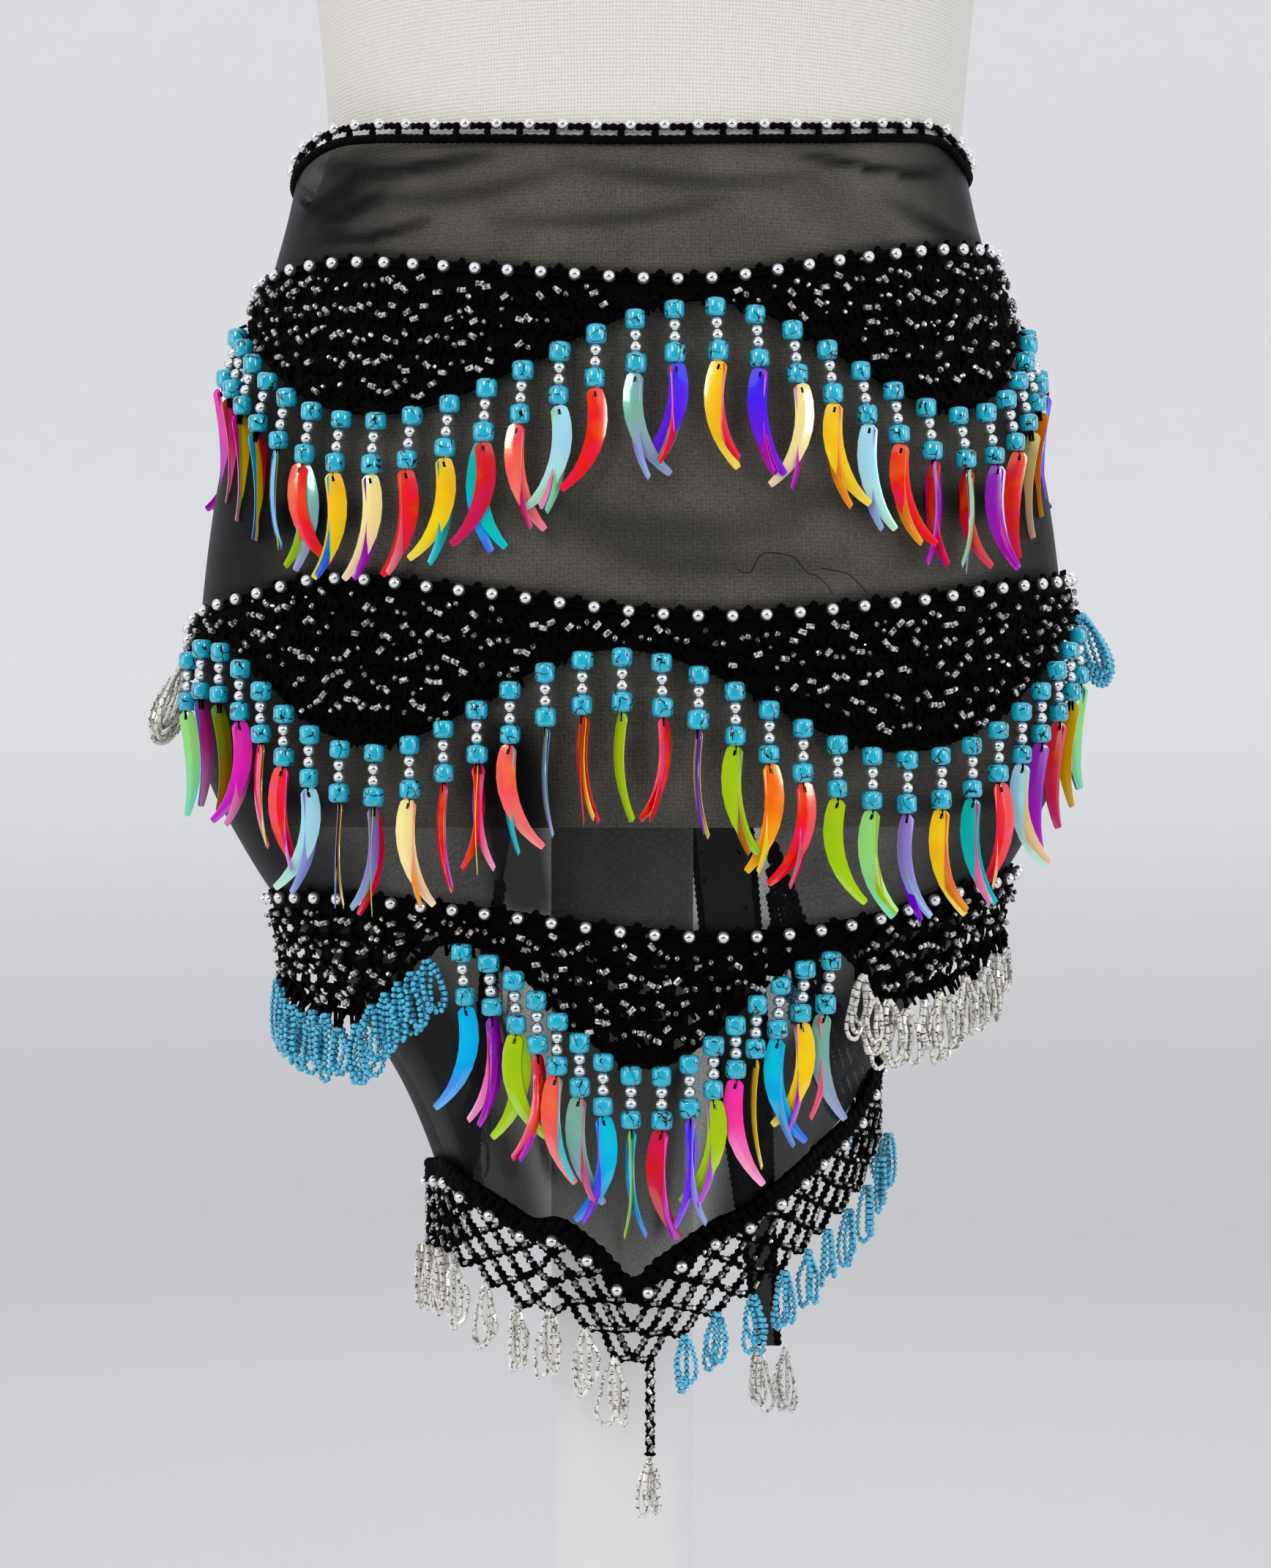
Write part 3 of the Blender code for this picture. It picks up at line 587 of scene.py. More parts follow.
def painted_steel(colours):
    # Powder-coated white steel: satin, with the faint orange peel of baked paint.
    material, tree, shader = surface("white_powder_coat", tuple(colours.paint), Roughness=0.42,
                                     Coat_Weight=0.15, Coat_Roughness=0.3)
    place = own_place(tree)
    peel = noise(tree, place, 0.003).outputs["Fac"]
    wear = noise(tree, place, 0.09, 4.0).outputs["Fac"]
    tint(tree, shader, wear, scaled(colours.paint, 0.93), tuple(colours.paint))
    emboss(tree, shader, peel, 0.0002, 0.25)
    return material


def crinkle_chiffon(colours):
    # Polyester chiffon, dyed black: crepe-twisted yarns leave a fine crinkle, and what lies
    # behind shows through it. It is denser where the crinkles bunch up.
    material, tree, shader = surface("black_crinkle_chiffon", tuple(colours.chiffon),
                                     Roughness=0.38, Specular_IOR_Level=0.05,
                                     Sheen_Weight=0.012, Sheen_Roughness=0.35)
    cloth, stretched = woven_places(tree, 0.60)
    crepe = noise(tree, stretched, 0.0009, 4.0, 0.65).outputs["Fac"]
    waves = noise(tree, cloth, 0.030, 3.0).outputs["Fac"]
    mixed = node(tree, "ShaderNodeMath", {1: 0.35}, {0: waves, 2: crepe},
                 operation='MULTIPLY_ADD').outputs[0]
    weave = remap(tree, mixed, 0.52, 0.82, 0.56, 0.750)
    # The point mark darkens the cloth: denser where it bunches, darker along each band's top edge,
    # and darker where creases lift, which is painted shade.
    full = node(tree, "ShaderNodeAttribute", attribute_name="bunching_and_shade").outputs["Fac"]
    density = node(tree, "ShaderNodeMix", {3: 0.965}, {0: full, 2: weave},
                   data_type='FLOAT').outputs[0]
    emboss(tree, shader, crepe, 0.0004, 0.9)
    clear = node(tree, "ShaderNodeBsdfTransparent", {"Color": (1.0, 0.98, 0.935, 1)})
    mix = node(tree, "ShaderNodeMixShader", links={
        0: density, 1: clear.outputs[0], 2: shader.outputs[0]})
    tree.links.new(mix.outputs[0], tree.nodes["Material Output"].inputs["Surface"])
    return material


def crochet_yarn(colours):
    # Mercerised black cotton, crocheted: round plied yarn with a slight lustre and fuzz.
    material, tree, shader = surface("black_crochet_cotton", tuple(colours.yarn),
                                     Roughness=0.70, Specular_IOR_Level=0.05)
    plies = noise(tree, own_place(tree), 0.0007, 3.0, 0.7).outputs["Fac"]
    tint(tree, shader, plies, scaled(colours.yarn, 0.2), scaled(colours.yarn, 1.1))
    emboss(tree, shader, plies, 0.0006, 1.0)
    return material


def dyed_howlite(colours):
    # Howlite dyed turquoise and polished: opaque, glossy, with black veins that wander.
    blue = tuple(colours.turquoise)
    material, tree, shader = surface("turquoise_howlite", blue, Roughness=0.16,
                                     Coat_Weight=1.0, Coat_Roughness=0.03)
    place = own_place(tree)
    bend = noise(tree, place, 0.004, 3.0)
    shifted = node(tree, "ShaderNodeMix", {0: 0.0035}, {4: place, 5: bend.outputs["Color"]},
                   data_type='VECTOR')
    cracks = node(tree, "ShaderNodeTexVoronoi", {"Scale": grain(0.0056)},
                  {"Vector": shifted.outputs[1]}, feature='DISTANCE_TO_EDGE')
    width = noise(tree, place, 0.0035).outputs["Fac"]
    edge = remap(tree, width, 0.36, 0.66, 0.0, 0.052)
    vein = node(tree, "ShaderNodeMath", links={0: cracks.outputs["Distance"], 1: edge},
                operation='LESS_THAN').outputs[0]
    cloud = noise(tree, place, 0.005).outputs["Fac"]
    body = tint(tree, shader, cloud, scaled(blue, 0.82), scaled(blue, 1.2))
    veined = node(tree, "ShaderNodeMix", {7: (*colours.veins, 1)},
                  {0: vein, 6: body.outputs[2]}, data_type='RGBA')
    tree.links.new(veined.outputs[2], shader.inputs["Base Color"])
    return material


def metallised_beads(colours):
    # Plastic beads with a bright silver plating: mirror-like, with faint handling marks.
    material, tree, shader = surface("silver_plated_beads", tuple(colours.silver), Metallic=0.90,
                                     Roughness=0.14)
    marks = noise(tree, own_place(tree), 0.0012, 3.0).outputs["Fac"]
    rough = remap(tree, marks, to_low=0.08, to_high=0.26)
    tree.links.new(rough, shader.inputs["Roughness"])
    emboss(tree, shader, marks, 0.0001, 0.2)
    return material


def lined_glass(colours):
    # Clear cut glass tubes with a silver lining, seen through their walls: bright facets
    # over a grey core with a warm cast.
    clear = tuple(colours.clear_glass)
    material, tree, shader = surface("silver_lined_glass", clear, Metallic=0.75, Roughness=0.16,
                                     Coat_Weight=1.0, Coat_Roughness=0.04)
    lining = noise(tree, own_place(tree), 0.0011).outputs["Fac"]
    shade = remap(tree, lining, 0.42, 0.62)
    tint(tree, shader, shade, scaled(clear, 0.05), scaled(clear, 0.9))
    return material


def strung_glass(name, colour, dark, film):
    # Pressed glass seed beads on a dark thread: wet and glossy, brighter where the thread
    # doesn't show through. A film gives the clear ones a faint rainbow.
    material, tree, shader = surface(name, colour, Roughness=0.10, Coat_Weight=1.0,
                                     Coat_Roughness=0.05, Transmission_Weight=0.12, IOR=1.52)
    shader.inputs["Thin Film Thickness"].default_value = film
    shader.inputs["Thin Film IOR"].default_value = 1.6
    depth = noise(tree, own_place(tree), 0.0015, 1.0).outputs["Fac"]
    shade = remap(tree, depth, 0.34, 0.46)
    tint(tree, shader, shade, dark, colour)
    return material


def pearl_film(colours):
    # Sequin film: coloured polyester under a pearl coat that flashes other hues. Towards each
    # sequin's tip its colour turns to a second hue, a painted sheen of the pearl coat.
    material, tree, shader = surface("pearl_sequin_film", (1, 1, 1), Roughness=0.16,
                                     Coat_Weight=1.0, Coat_Roughness=0.03)
    shader.inputs["Thin Film Thickness"].default_value = colours.film_thickness
    shader.inputs["Thin Film IOR"].default_value = 1.7
    # the film mark runs from the film's colour to a painted sheen colour at the tip
    tone = node(tree, "ShaderNodeAttribute", attribute_name="film").outputs["Color"]
    swirl = noise(tree, own_place(tree), 0.012).outputs["Fac"]
    turn = remap(tree, swirl, to_low=0.465, to_high=0.535)
    hue = node(tree, "ShaderNodeHueSaturation", {"Saturation": 1.20, "Value": 1.05},
               {"Hue": turn, "Color": tone})
    tree.links.new(hue.outputs["Color"], shader.inputs["Base Color"])
    return material


def studio_paper(colours):
    # Seamless backdrop paper: even, matt and pale. Its floor is a tone darker, painted shade
    # that evens out the extra light it catches from above.
    material, tree, shader = surface("backdrop_paper", tuple(colours.backdrop), Roughness=0.95,
                                     Specular_IOR_Level=0.0)
    height = node(tree, "ShaderNodeSeparateXYZ", links={0: own_place(tree)}).outputs["Z"]
    # painted shade: the paper darkens from 1.1 m high down to the floor
    rise = remap(tree, height, 0.0, 1.1, interpolation_type='SMOOTHSTEP')
    tint(tree, shader, rise, scaled(colours.backdrop, 0.74), tuple(colours.backdrop))
    return material


def finish(name):
    """The material of a finish, made once."""
    colours = bpy.context.scene.hip_belt_colours
    makers = {
        "linen": linen_cloth, "paint": painted_steel, "chiffon": crinkle_chiffon,
        "yarn": crochet_yarn, "turquoise": dyed_howlite, "silver": metallised_beads,
        "lined": lined_glass, "film": pearl_film, "paper": studio_paper,
        "aqua": lambda c: strung_glass("aqua_seed_beads", tuple(c.aqua_glass),
                                       scaled(c.aqua_glass, 0.28), 0.0),
        "clear": lambda c: strung_glass("clear_seed_beads", tuple(c.clear_glass),
                                        scaled(c.clear_glass, 0.22), 300.0),
    }
    if name not in FINISHES:
        FINISHES[name] = makers[name](colours)
    return FINISHES[name]


FINISHES = {}


# -------------------------------------------------------------------- the dress form
def turned(profile, steps):
    """Spin a profile, given as radius and height from the top down, round the post."""
    shape = bmesh.new()
    verts = [shape.verts.new((radius, 0.0, height)) for radius, height in profile]
    edges = [shape.edges.new(pair) for pair in zip(verts, verts[1:])]
    bmesh.ops.spin(shape, geom=verts + edges, cent=(0, 0, 0), axis=(0, 0, 1),
                   angle=2 * math.pi, steps=steps, use_merge=True)
    bmesh.ops.remove_doubles(shape, verts=shape.verts, dist=0.00001)
    bmesh.ops.recalc_face_normals(shape, faces=shape.faces)
    return shape


def rounded(corners, radius, steps=4):
    """A profile whose inner corners are rounded off."""
    smooth = [corners[0]]
    for before, corner, after in zip(corners, corners[1:], corners[2:]):
        here = Vector(corner)
        back, ahead = Vector(before) - here, Vector(after) - here
        reach = min(radius, back.length * 0.45, ahead.length * 0.45)
        start, end = here + back.normalized() * reach, here + ahead.normalized() * reach
        for i in range(steps + 1):
            t = i / steps
            smooth.append(start * (1 - t) ** 2 + here * 2 * t * (1 - t) + end * t * t)
    smooth.append(corners[-1])
    return [tuple(p) for p in smooth]


FORM_COLUMNS, FORM_ROWS, FORM_GIRTH = 144, 170, 0.95
FORM_LOW, FORM_HIGH = FORM_BOTTOM + 0.0005, FORM_TOP - 0.003     # ends of the torso's wall
FORM_WAIST = 1.0             # the cloth lies closer above this height
FORM_BEHIND = ((125, 0.0), (150, 1.0))       # angle, how much it counts as the back
# How far in and how far up each step of the neck's rounded rim goes
NECK_RIM = ((0.0016, 0.0016), (0.0020, 0.0009), (0.0040, 0.0004))
# Radius and height of the base's corners, from its top middle to its underside
BASE_PROFILE = (
    (0.0, COLLAR_HEIGHT), (0.041, COLLAR_HEIGHT), (0.0455, 0.0255), (0.047, 0.0165),
    (BASE_RADIUS - 0.014, 0.0120), (BASE_RADIUS - 0.001, 0.0100), (BASE_RADIUS, 0.0), (0.0, 0.0),
)
BASE_ROUNDING, POST_ROUNDING, POST_GAP = 0.0045, 0.0012, 0.0003


def form_point(angle, height):
    if height > FORM_WAIST:
        inset = FORM_CLEARANCE
    else:
        behind = wave_value(FORM_BEHIND, abs(angle))
        inset = FORM_EASE + FORM_BACK_EASE * behind + smooth_value(FORM_ROUNDING, height)
    x, y, z = figure_point(angle, height, -inset)
    slack = wave_value(FORM_SLACK, height)
    return (x + slack * max(-math.sin(math.radians(angle)), 0.0), y, z)


def build_form():
    wall = FORM_HIGH - FORM_LOW

    def point(u, v):
        return form_point(-180 + 360 * u, FORM_LOW + wall * (1 - v))

    shape = mapped_grid(FORM_COLUMNS, FORM_ROWS, point, (FORM_GIRTH, wall), closed=True)
    rims = [e for e in shape.edges if e.is_boundary]
    caps = bmesh.ops.holes_fill(shape, edges=rims, sides=0)["faces"]
    bmesh.ops.recalc_face_normals(shape, faces=shape.faces)
    neck = max(caps, key=lambda face: face.calc_center_median().z)
    flat = []
    for width, rise in NECK_RIM:
        flat += bmesh.ops.inset_region(shape, faces=[neck], thickness=width, depth=rise)["faces"]
    flat += bmesh.ops.poke(shape, faces=caps)["faces"]
    layer = shape.loops.layers.uv["cloth"]
    for face in flat:
        for corner in face.loops:
            corner[layer].uv = corner.vert.co.xy
    show_shape("form_torso_cover", shape, "linen", "form_torso", sharp=60)

    top, bottom, radius = FORM_BOTTOM - POST_GAP, COLLAR_HEIGHT + POST_GAP, POST_RADIUS
    post = rounded(((0.0, top), (radius, top), (radius, bottom), (0.0, bottom)), POST_ROUNDING)
    show_shape("form_stand_post", turned(post, 64), "paint", "form_post")
    base = rounded(BASE_PROFILE, BASE_ROUNDING)
    show_shape("form_stand_base", turned(base, 96), "paint", "form_base")


# ------------------------------------------------------------------------ the chiffon
# Soft creases: start angle and height, end angle and height, half width, how far it lifts. The lift
# also darkens the cloth there, as painted shade.
CREASES = (
    (-74, 1.0330, -50, 1.0330, 0.0042, 0.0028),
    (-64, 1.0435, -22, 1.0370, 0.0024, 0.0022), (-68, 1.0305, -43, 1.0245, 0.0030, 0.0026),
    (-60, 1.0160, -32, 1.0130, 0.0022, 0.0018), (-46, 1.0250, -10, 1.0300, 0.0034, 0.0008),
    (24, 1.0395, 66, 1.0415, 0.0022, 0.0018), (44, 1.0230, 80, 1.0180, 0.0040, 0.0012),
    (-22, 1.0120, 16, 1.0200, 0.0030, 0.0007), (-12, 1.0330, 30, 1.0290, 0.0030, 0.0007),
    (-80, 0.915, -34, 0.902, 0.0060, 0.0012), (20, 0.907, 76, 0.920, 0.0060, 0.0010),
    (-18, 0.905, 22, 0.896, 0.0070, 0.0006), (-10, 0.890, 30, 0.884, 0.0050, 0.0005),
    (-72, 0.806, -36, 0.793, 0.0050, 0.0012), (28, 0.792, 78, 0.806, 0.0050, 0.0012),
    (-3, 0.694, -4.4, 0.622, 0.0021, 0.0030), (10, 0.704, 8, 0.628, 0.0050, 0.0030),
    (-16, 0.715, -13, 0.645, 0.0034, 0.0014), (-15, 0.822, -16, 0.728, 0.0125, 0.0030),
    (-26, 0.720, -22, 0.650, 0.0050, 0.0026), (22, 0.712, 19, 0.645, 0.0042, 0.0022),
    (-40, 0.700, -36, 0.650, 0.0045, 0.0024), (38, 0.705, 35, 0.652, 0.0045, 0.0024),
    (173, 1.012, 118, 0.968, 0.0050, 0.0030), (-173, 1.012, -118, 0.962, 0.0050, 0.0030),
)
BACK_CREASES = (             # the same on both sides, fanning out from the knot
    (172, 1.024, 112, 1.024, 0.0040, 0.0022), (173, 0.998, 134, 0.900, 0.0055, 0.0016),
    (172, 0.960, 146, 0.820, 0.0060, 0.0015), (170, 0.900, 155, 0.780, 0.0060, 0.0014),
    (120, 0.900, 96, 0.790, 0.0070, 0.0016),
)
CREASES += BACK_CREASES + tuple((-start, high, -end, low, half, depth)
                                for start, high, end, low, half, depth in BACK_CREASES)
# Angles and heights of two threads that have come loose and lie on the cloth
LOOSE_THREADS = (
    ((13.0, 0.8792), (13.4, 0.8780), (14.0, 0.8777), (14.6, 0.8781), (15.2, 0.8811),
     (15.7, 0.8841), (16.6, 0.8856), (18.5, 0.8851), (20.1, 0.8841), (21.0, 0.8813),
     (21.7, 0.8785), (23.2, 0.8770), (24.3, 0.8744), (25.2, 0.8705)),
    ((23.7, 0.8801), (25.7, 0.8792), (27.5, 0.8782), (28.8, 0.8750), (30.2, 0.8707)),
)
# Creases are drawn darker as they lift off the form: painted shade.
CREASE_FULL_SHADE = 0.0016         # lift at which a crease is as dark as the cloth gets
CREASE_REACH = 2.6           # half widths past which a crease is nothing
CREASE_BEND = 0.006          # how far a crease bows from a straight line
CREASE_LEAST = 0.00005       # lift that is worth clearing from the trim
# Degrees where the gathers start and are full: over the hips, and low on the tip
GATHERS_RIGHT = ((46, 80), (17, 31))
GATHERS_LEFT = ((30, 72), (16, 34))
GATHERS_LOW, GATHERS_HIGH = 0.69, 0.76       # heights between which one turns to the other
GATHERS_BEHIND = 0.28        # share of them that is left at the back
GATHERED, BAND_TOP_DARKENING = 0.92, 0.62          # how dark the gathers and the strip along each band's top edge show
THREAD_RADIUS, THREAD_OUT = 0.00016, 0.0010


def crease_lift(angle, height):
    across, lift = math.radians(angle) * FIGURE_RADIUS, 0.0
    for start, high, end, low, half, depth in CREASES:
        reach = CREASE_REACH * half
        if not min(high, low) - reach < height < max(high, low) + reach:
            continue
        x0, x1 = math.radians(start) * FIGURE_RADIUS, math.radians(end) * FIGURE_RADIUS
        if not min(x0, x1) - reach < across < max(x0, x1) + reach:
            continue
        run, fall = x1 - x0, low - high
        along = ((across - x0) * run + (height - high) * fall) / (run * run + fall * fall)
        share = min(max(along, 0.0), 1.0)
        bend = CREASE_BEND * math.sin(math.pi * along)
        distance = math.hypot(across - x0 - run * share, height + bend - high - fall * share)
        fade = math.sin(math.pi * min(max(along * 0.92 + 0.04, 0.0), 1.0)) ** 0.7
        lift += depth * fade * math.exp(-(distance / half) ** 2)
    return lift


def side_gather(angle, height):
    """How much the wrap bunches at the sides: sooner on the left, and sooner low down."""
    low = 1 - ease(height, GATHERS_LOW, GATHERS_HIGH)
    above, below = GATHERS_RIGHT if angle > 0 else GATHERS_LEFT
    start, full = (a + (b - a) * low for a, b in zip(above, below))
    behind = ease(abs(angle), 104, 140)
    return ease(abs(angle), start, full) * (1 - (1 - GATHERS_BEHIND) * behind)


def add_bunching_and_shade(mesh, values):
    """Mark how dark the cloth is, point by point, from its bunching and from the painted shade of
    its creases: 0 lies flat, 1 is full.
    """
    layer = mesh.attributes.new("bunching_and_shade", 'FLOAT', 'POINT')
    layer.data.foreach_set("value", np.array(values, dtype=np.float32))


def clear_of_trim(angle, height):
    """0 where a band or the net lies on the cloth, 1 well away from them."""
    free = ease(height, hem(angle) + 0.004, hem(angle) + 0.016)
    free *= 1 - ease(height, waist(angle) - 0.006, waist(angle) - 0.001)
    for band, (_, _, last) in BANDS.items():
        if abs(angle) < last + 3:
            top, low = band_levels(band, angle)
            free *= max(ease(height, top + 0.001, top + 0.008),
                        1 - ease(height, low - 0.010, low - 0.001))
    return free


def band_top_darkening(angle, height):
    """1 along a band's top edge, where the cloth is drawn darker, and 0 above that."""
    share = 0.0
    for band, (_, _, last) in BANDS.items():
        if abs(angle) < last:
            above = height - band_levels(band, angle)[0]
            share = max(share, ease(above, -0.004, 0.0) * (1 - ease(above, 0.0028, 0.0068)))
    return share


def build_chiffon():
    def point(u, v):
        angle = CLOTH_END * (2 * u - 1)
        top = waist(angle)
        height = top + (hem(angle) - top) * v
        lift = crease_lift(angle, height)
        if lift > CREASE_LEAST:
            lift *= clear_of_trim(angle, height)
        # Lifted creases darken the cloth as painted shade; the gathers are denser cloth.
        dark = lift / CREASE_FULL_SHADE + GATHERED * side_gather(angle, height)
        bunching_and_shade.append(min(dark + BAND_TOP_DARKENING * band_top_darkening(angle, height), 1.0))
        return cloth_point(angle, height, lift - CLOTH_WALL / 2)

    loose = [[cloth_point(*place, THREAD_OUT) for place in thread] for thread in LOOSE_THREADS]
    crochet("loose_thread", [resampled(path, 0.0015) for path in loose], THREAD_RADIUS)
    bunching_and_shade = []
    mesh = from_bmesh("chiffon_wrap", mapped_grid(280, 150, point, WRAP_FLAT))
    add_bunching_and_shade(mesh, bunching_and_shade)
    return show("chiffon_wrap", mesh, "chiffon", ("chiffon_panel",))


# ------------------------------------------------------------------- crochet and beads
def silver_balls(name, places, around=14, along=9):
    """Silver balls that are sewn to the crochet."""
    width = bpy.context.scene.hip_belt_sizes.silver_width
    return copies(name, [(ball(width / 2, around, along), places)], "silver")


def silver_row(name, place, first, last):
    """Silver balls along a line, each turned its own way."""
    places = []
    for angle in spaced_angles(place, first, last, BEAD_PITCH):
        places.append(upright(place(angle), angle, lean=0.2 * math.sin(angle)))
    return silver_balls(name, places)


def sewn_glass(name, tubes, tube_width, seeds=(), seed_radius=0.5, length=1.0):
    """Silver-lined tubes and seed beads, their widths and lengths in shares of the usual."""
    sizes = bpy.context.scene.hip_belt_sizes
    parts = [(ball(sizes.seed_width * seed_radius, 7, 5, (1, 1, 0.85)), seeds),
             (barrel(sizes.seed_width * tube_width, sizes.bugle_length * length, 6), tubes)]
    return copies(name, parts, "lined", sharp=25)


EDGE_LOW, EDGE_HIGH = 0.0012, EDGING_HEIGHT - 0.0008     # the ladder's two chains


def build_waist_edging():
    width = bpy.context.scene.hip_belt_sizes.yarn_width

    def at(rise, out):
        return lambda angle: figure_point(angle, waist(angle) + rise, out)

    angles = np.linspace(-CLOTH_END, CLOTH_END, 260)
    crochet("waist_rolled_edge", [[at(EDGE_LOW, 0.0002)(a) for a in angles]],
            width * 0.80, 0.0030, 8, 0.10, ("waist_edging",))
    posts = [[at(EDGE_LOW, 0.0)(a), at(EDGE_HIGH, 0.0004)(a)]
             for a in spaced_angles(at(EDGE_LOW, 0.0), -CLOTH_END + 2.5, CLOTH_END, BEAD_PITCH)]
    crochet("waist_chain", [[at(EDGE_HIGH - 0.0006, 0.0004)(a) for a in angles]],
            width * 0.56, 0.0032, 6, 0.24)
    crochet("waist_ladder", posts, width * 0.62, 0.0016, 6)
    silver_row("waist_silver_beads", at(EDGE_HIGH, 0.0018), -CLOTH_END + 1, CLOTH_END - 1)


def band_place(band, angle, height, out):
    top, low = band_levels(band, angle)
    share = min(max((top - height) / (top - low), 0.0), 1.0)
    return hung_point(angle, height, top, LAY + LACE_LIFT * share + out)


SHELL_PITCH, SHELL_ROW = 0.0130, 0.0098      # width of a shell stitch, height of its row
SHELL_ROWS, SHELL_TOP = 7, 0.0042            # rows at most, and the first one's drop
SHELL_SAG = 0.0052           # how far a shell's chain hangs down between its ends
SHELL_STEPS = (0.0, 0.2, 0.4, 0.6, 0.8, 1.0)
CLOSE_POSTS, OPEN_POSTS = 6, 3               # raised stitches of a shell
HOLE_RADIUS = 0.37           # of an open shell, in shares of its width and height
SOLID_EDGE = 0.0022          # of the crochet below the holes
EDGE_INSET = 0.0008          # of the lowest chain, up from the lower edge
LACE_PUFF = 0.0003           # how uneven the crochet is
CHAIN_OUT, FLAT_OUT = 0.0007, 0.7            # a shell's chain; a chain pressed into the wall
LEAST_HEIGHT = 0.0025        # of crochet that a shell fits in
BEAD_HEIGHT = 0.0065         # of crochet that glass fits in
GLASS_PLACES, GLASS_GAPS = 4, 0.27           # places on a shell, share of them left empty
GLASS_SAG, GLASS_OUT = 0.0056, 0.0029        # how the glass follows the shell's chain
EXTRA_SEEDS, LONG_GLASS = 0.42, 0.45         # share of shells with one more, of long beads
# Yarns of a tab between two silver beads: how far along, how high above the bead line
TAB_YARNS = ((-0.0008, 0.0033), (0.0, 0.0040), (0.0008, 0.0035))
UPPER_CHAIN, SILVER_OUT = 0.0013, 0.0028     # above the bead line; out from the wall
LOOSEST = 0.6                # openness past which yarn ends hang below the edge


def open_work(band, angle):
    """How open the crochet is: the lowest band is worked looser towards its ends."""
    return 0.55 + 0.45 * ease(abs(angle), 20, 42) if band == "row_3" else 0.0


def build_lace_ground(band, angles, travel, depth):
    """The crochet that carries the rest, with real holes where it is worked loosely."""
    last = angles[-1]

    def point(u, v):
        angle = last * (2 * u - 1)
        top, low = band_levels(band, angle)
        height = top + (low - top) * v
        puff = LACE_PUFF * math.sin(angle * 2.1 + 900 * height) * math.cos(angle - 640 * height)
        return band_place(band, angle, height, LACE_WALL / 2 + puff)

    def keep(u, v):
        angle = last * (2 * u - 1)
        openness = open_work(band, angle)
        top, low = band_levels(band, angle)
        row = (top - low) * v / SHELL_ROW - 0.5
        if openness <= 0 or row < 0.6 or (top - low) * (1 - v) < SOLID_EDGE:
            return True
        across = float(np.interp(angle, angles, travel)) / SHELL_PITCH + 0.5 * (int(row) % 2)
        off = (across % 1 - 0.5) ** 2 + (row % 1 - 0.5) ** 2
        return off > openness * HOLE_RADIUS**2

    rows, cell = (40, 0.0014) if band == "row_3" else (16, 0.0026)
    shape = mapped_grid(int(travel[-1] / cell), rows, point, (travel[-1], depth), keep=keep)
    return show_shape("lace_ground_" + band, shape, "yarn", "lace_" + band)


def shell_rows(band, angles, travel, rng):
    """Rows of shell stitches: their chains, raised stitches, seed beads and glass tubes."""
    arcs, posts, seeds, tubes = [], [], [], []
    length = travel[-1]
    count = int(length / SHELL_PITCH)

    def shell_point(start, drop, share, sink, out):
        angle = float(np.interp(start + SHELL_PITCH * share, travel, angles))
        high, low = band_levels(band, angle)
        return band_place(band, angle, max(high - drop - sink, low + EDGE_INSET),
                          LACE_WALL + out)

    for row in range(SHELL_ROWS):
        for shell in range(count):
            start = (length - count * SHELL_PITCH) / 2 + (shell + 0.5 * (row % 2)) * SHELL_PITCH
            middle = float(np.interp(start + SHELL_PITCH / 2, travel, angles))
            drop = SHELL_TOP + row * SHELL_ROW
            top, low = band_levels(band, middle)
            left = top - low - drop
            if left < LEAST_HEIGHT or start + SHELL_PITCH > length:
                continue
            arcs.append([shell_point(start, drop, share, SHELL_SAG * math.sin(math.pi * share),
                                     CHAIN_OUT) for share in SHELL_STEPS])
            is_open = open_work(band, middle) > 0
            for k in range(OPEN_POSTS if is_open else CLOSE_POSTS):
                share = (k - 1) * 0.07 if is_open else (k + 0.5) / CLOSE_POSTS
                sink = SHELL_ROW * (0.5 + 0.12 * rng.uniform(-1, 1))
                if sink > left:
                    continue
                size = (rng.uniform(0.8, 1.15), rng.uniform(0.8, 1.2),
                        min(rng.uniform(0.9, 1.2), left / SHELL_ROW + 0.35))
                spot = shell_point(start, drop, share, sink, 0.0003)
                posts.append(upright(spot, middle, size, lean=rng.uniform(-0.6, 0.6)))
            if left < BEAD_HEIGHT + 0.003 * rng.random():
                continue
            for k in range(GLASS_PLACES):
                if rng.random() < GLASS_GAPS:
                    continue
                share = (k + 0.5 + rng.uniform(-0.18, 0.18)) / GLASS_PLACES
                sink = GLASS_SAG * math.sin(math.pi * share) + rng.uniform(-0.0014, 0.0014)
                spot = shell_point(start, drop, share, sink, GLASS_OUT)
                long_one = rng.random() < LONG_GLASS
                lean = math.pi / 2 + rng.uniform(-0.9, 0.9)
                places, spread = (tubes, 1.0) if long_one else (seeds, rng.uniform(0.8, 1.1))
                places.append(upright(spot, middle, (spread,) * 3, lean=lean))
            if rng.random() < EXTRA_SEEDS:
                spot = shell_point(start, drop, rng.random(), rng.uniform(-0.004, 0.008), 0.0012)
                seeds.append(upright(spot, middle, (0.6,) * 3, lean=rng.uniform(0, 3)))
    return arcs, posts, seeds, tubes


def lace_tabs(band, beads):
    """Yarns that stand up between the silver beads."""
    tabs = []
    for before, after in zip(beads, beads[1:]):
        middle = (before + after) / 2
        high = band_levels(band, middle)[0]
        for side, rise in TAB_YARNS:
            angle = middle + math.degrees(side / FIGURE_RADIUS)
            tabs.append([band_place(band, angle, height, LACE_WALL * FLAT_OUT)
                         for height in (high, high + rise)])
    return tabs


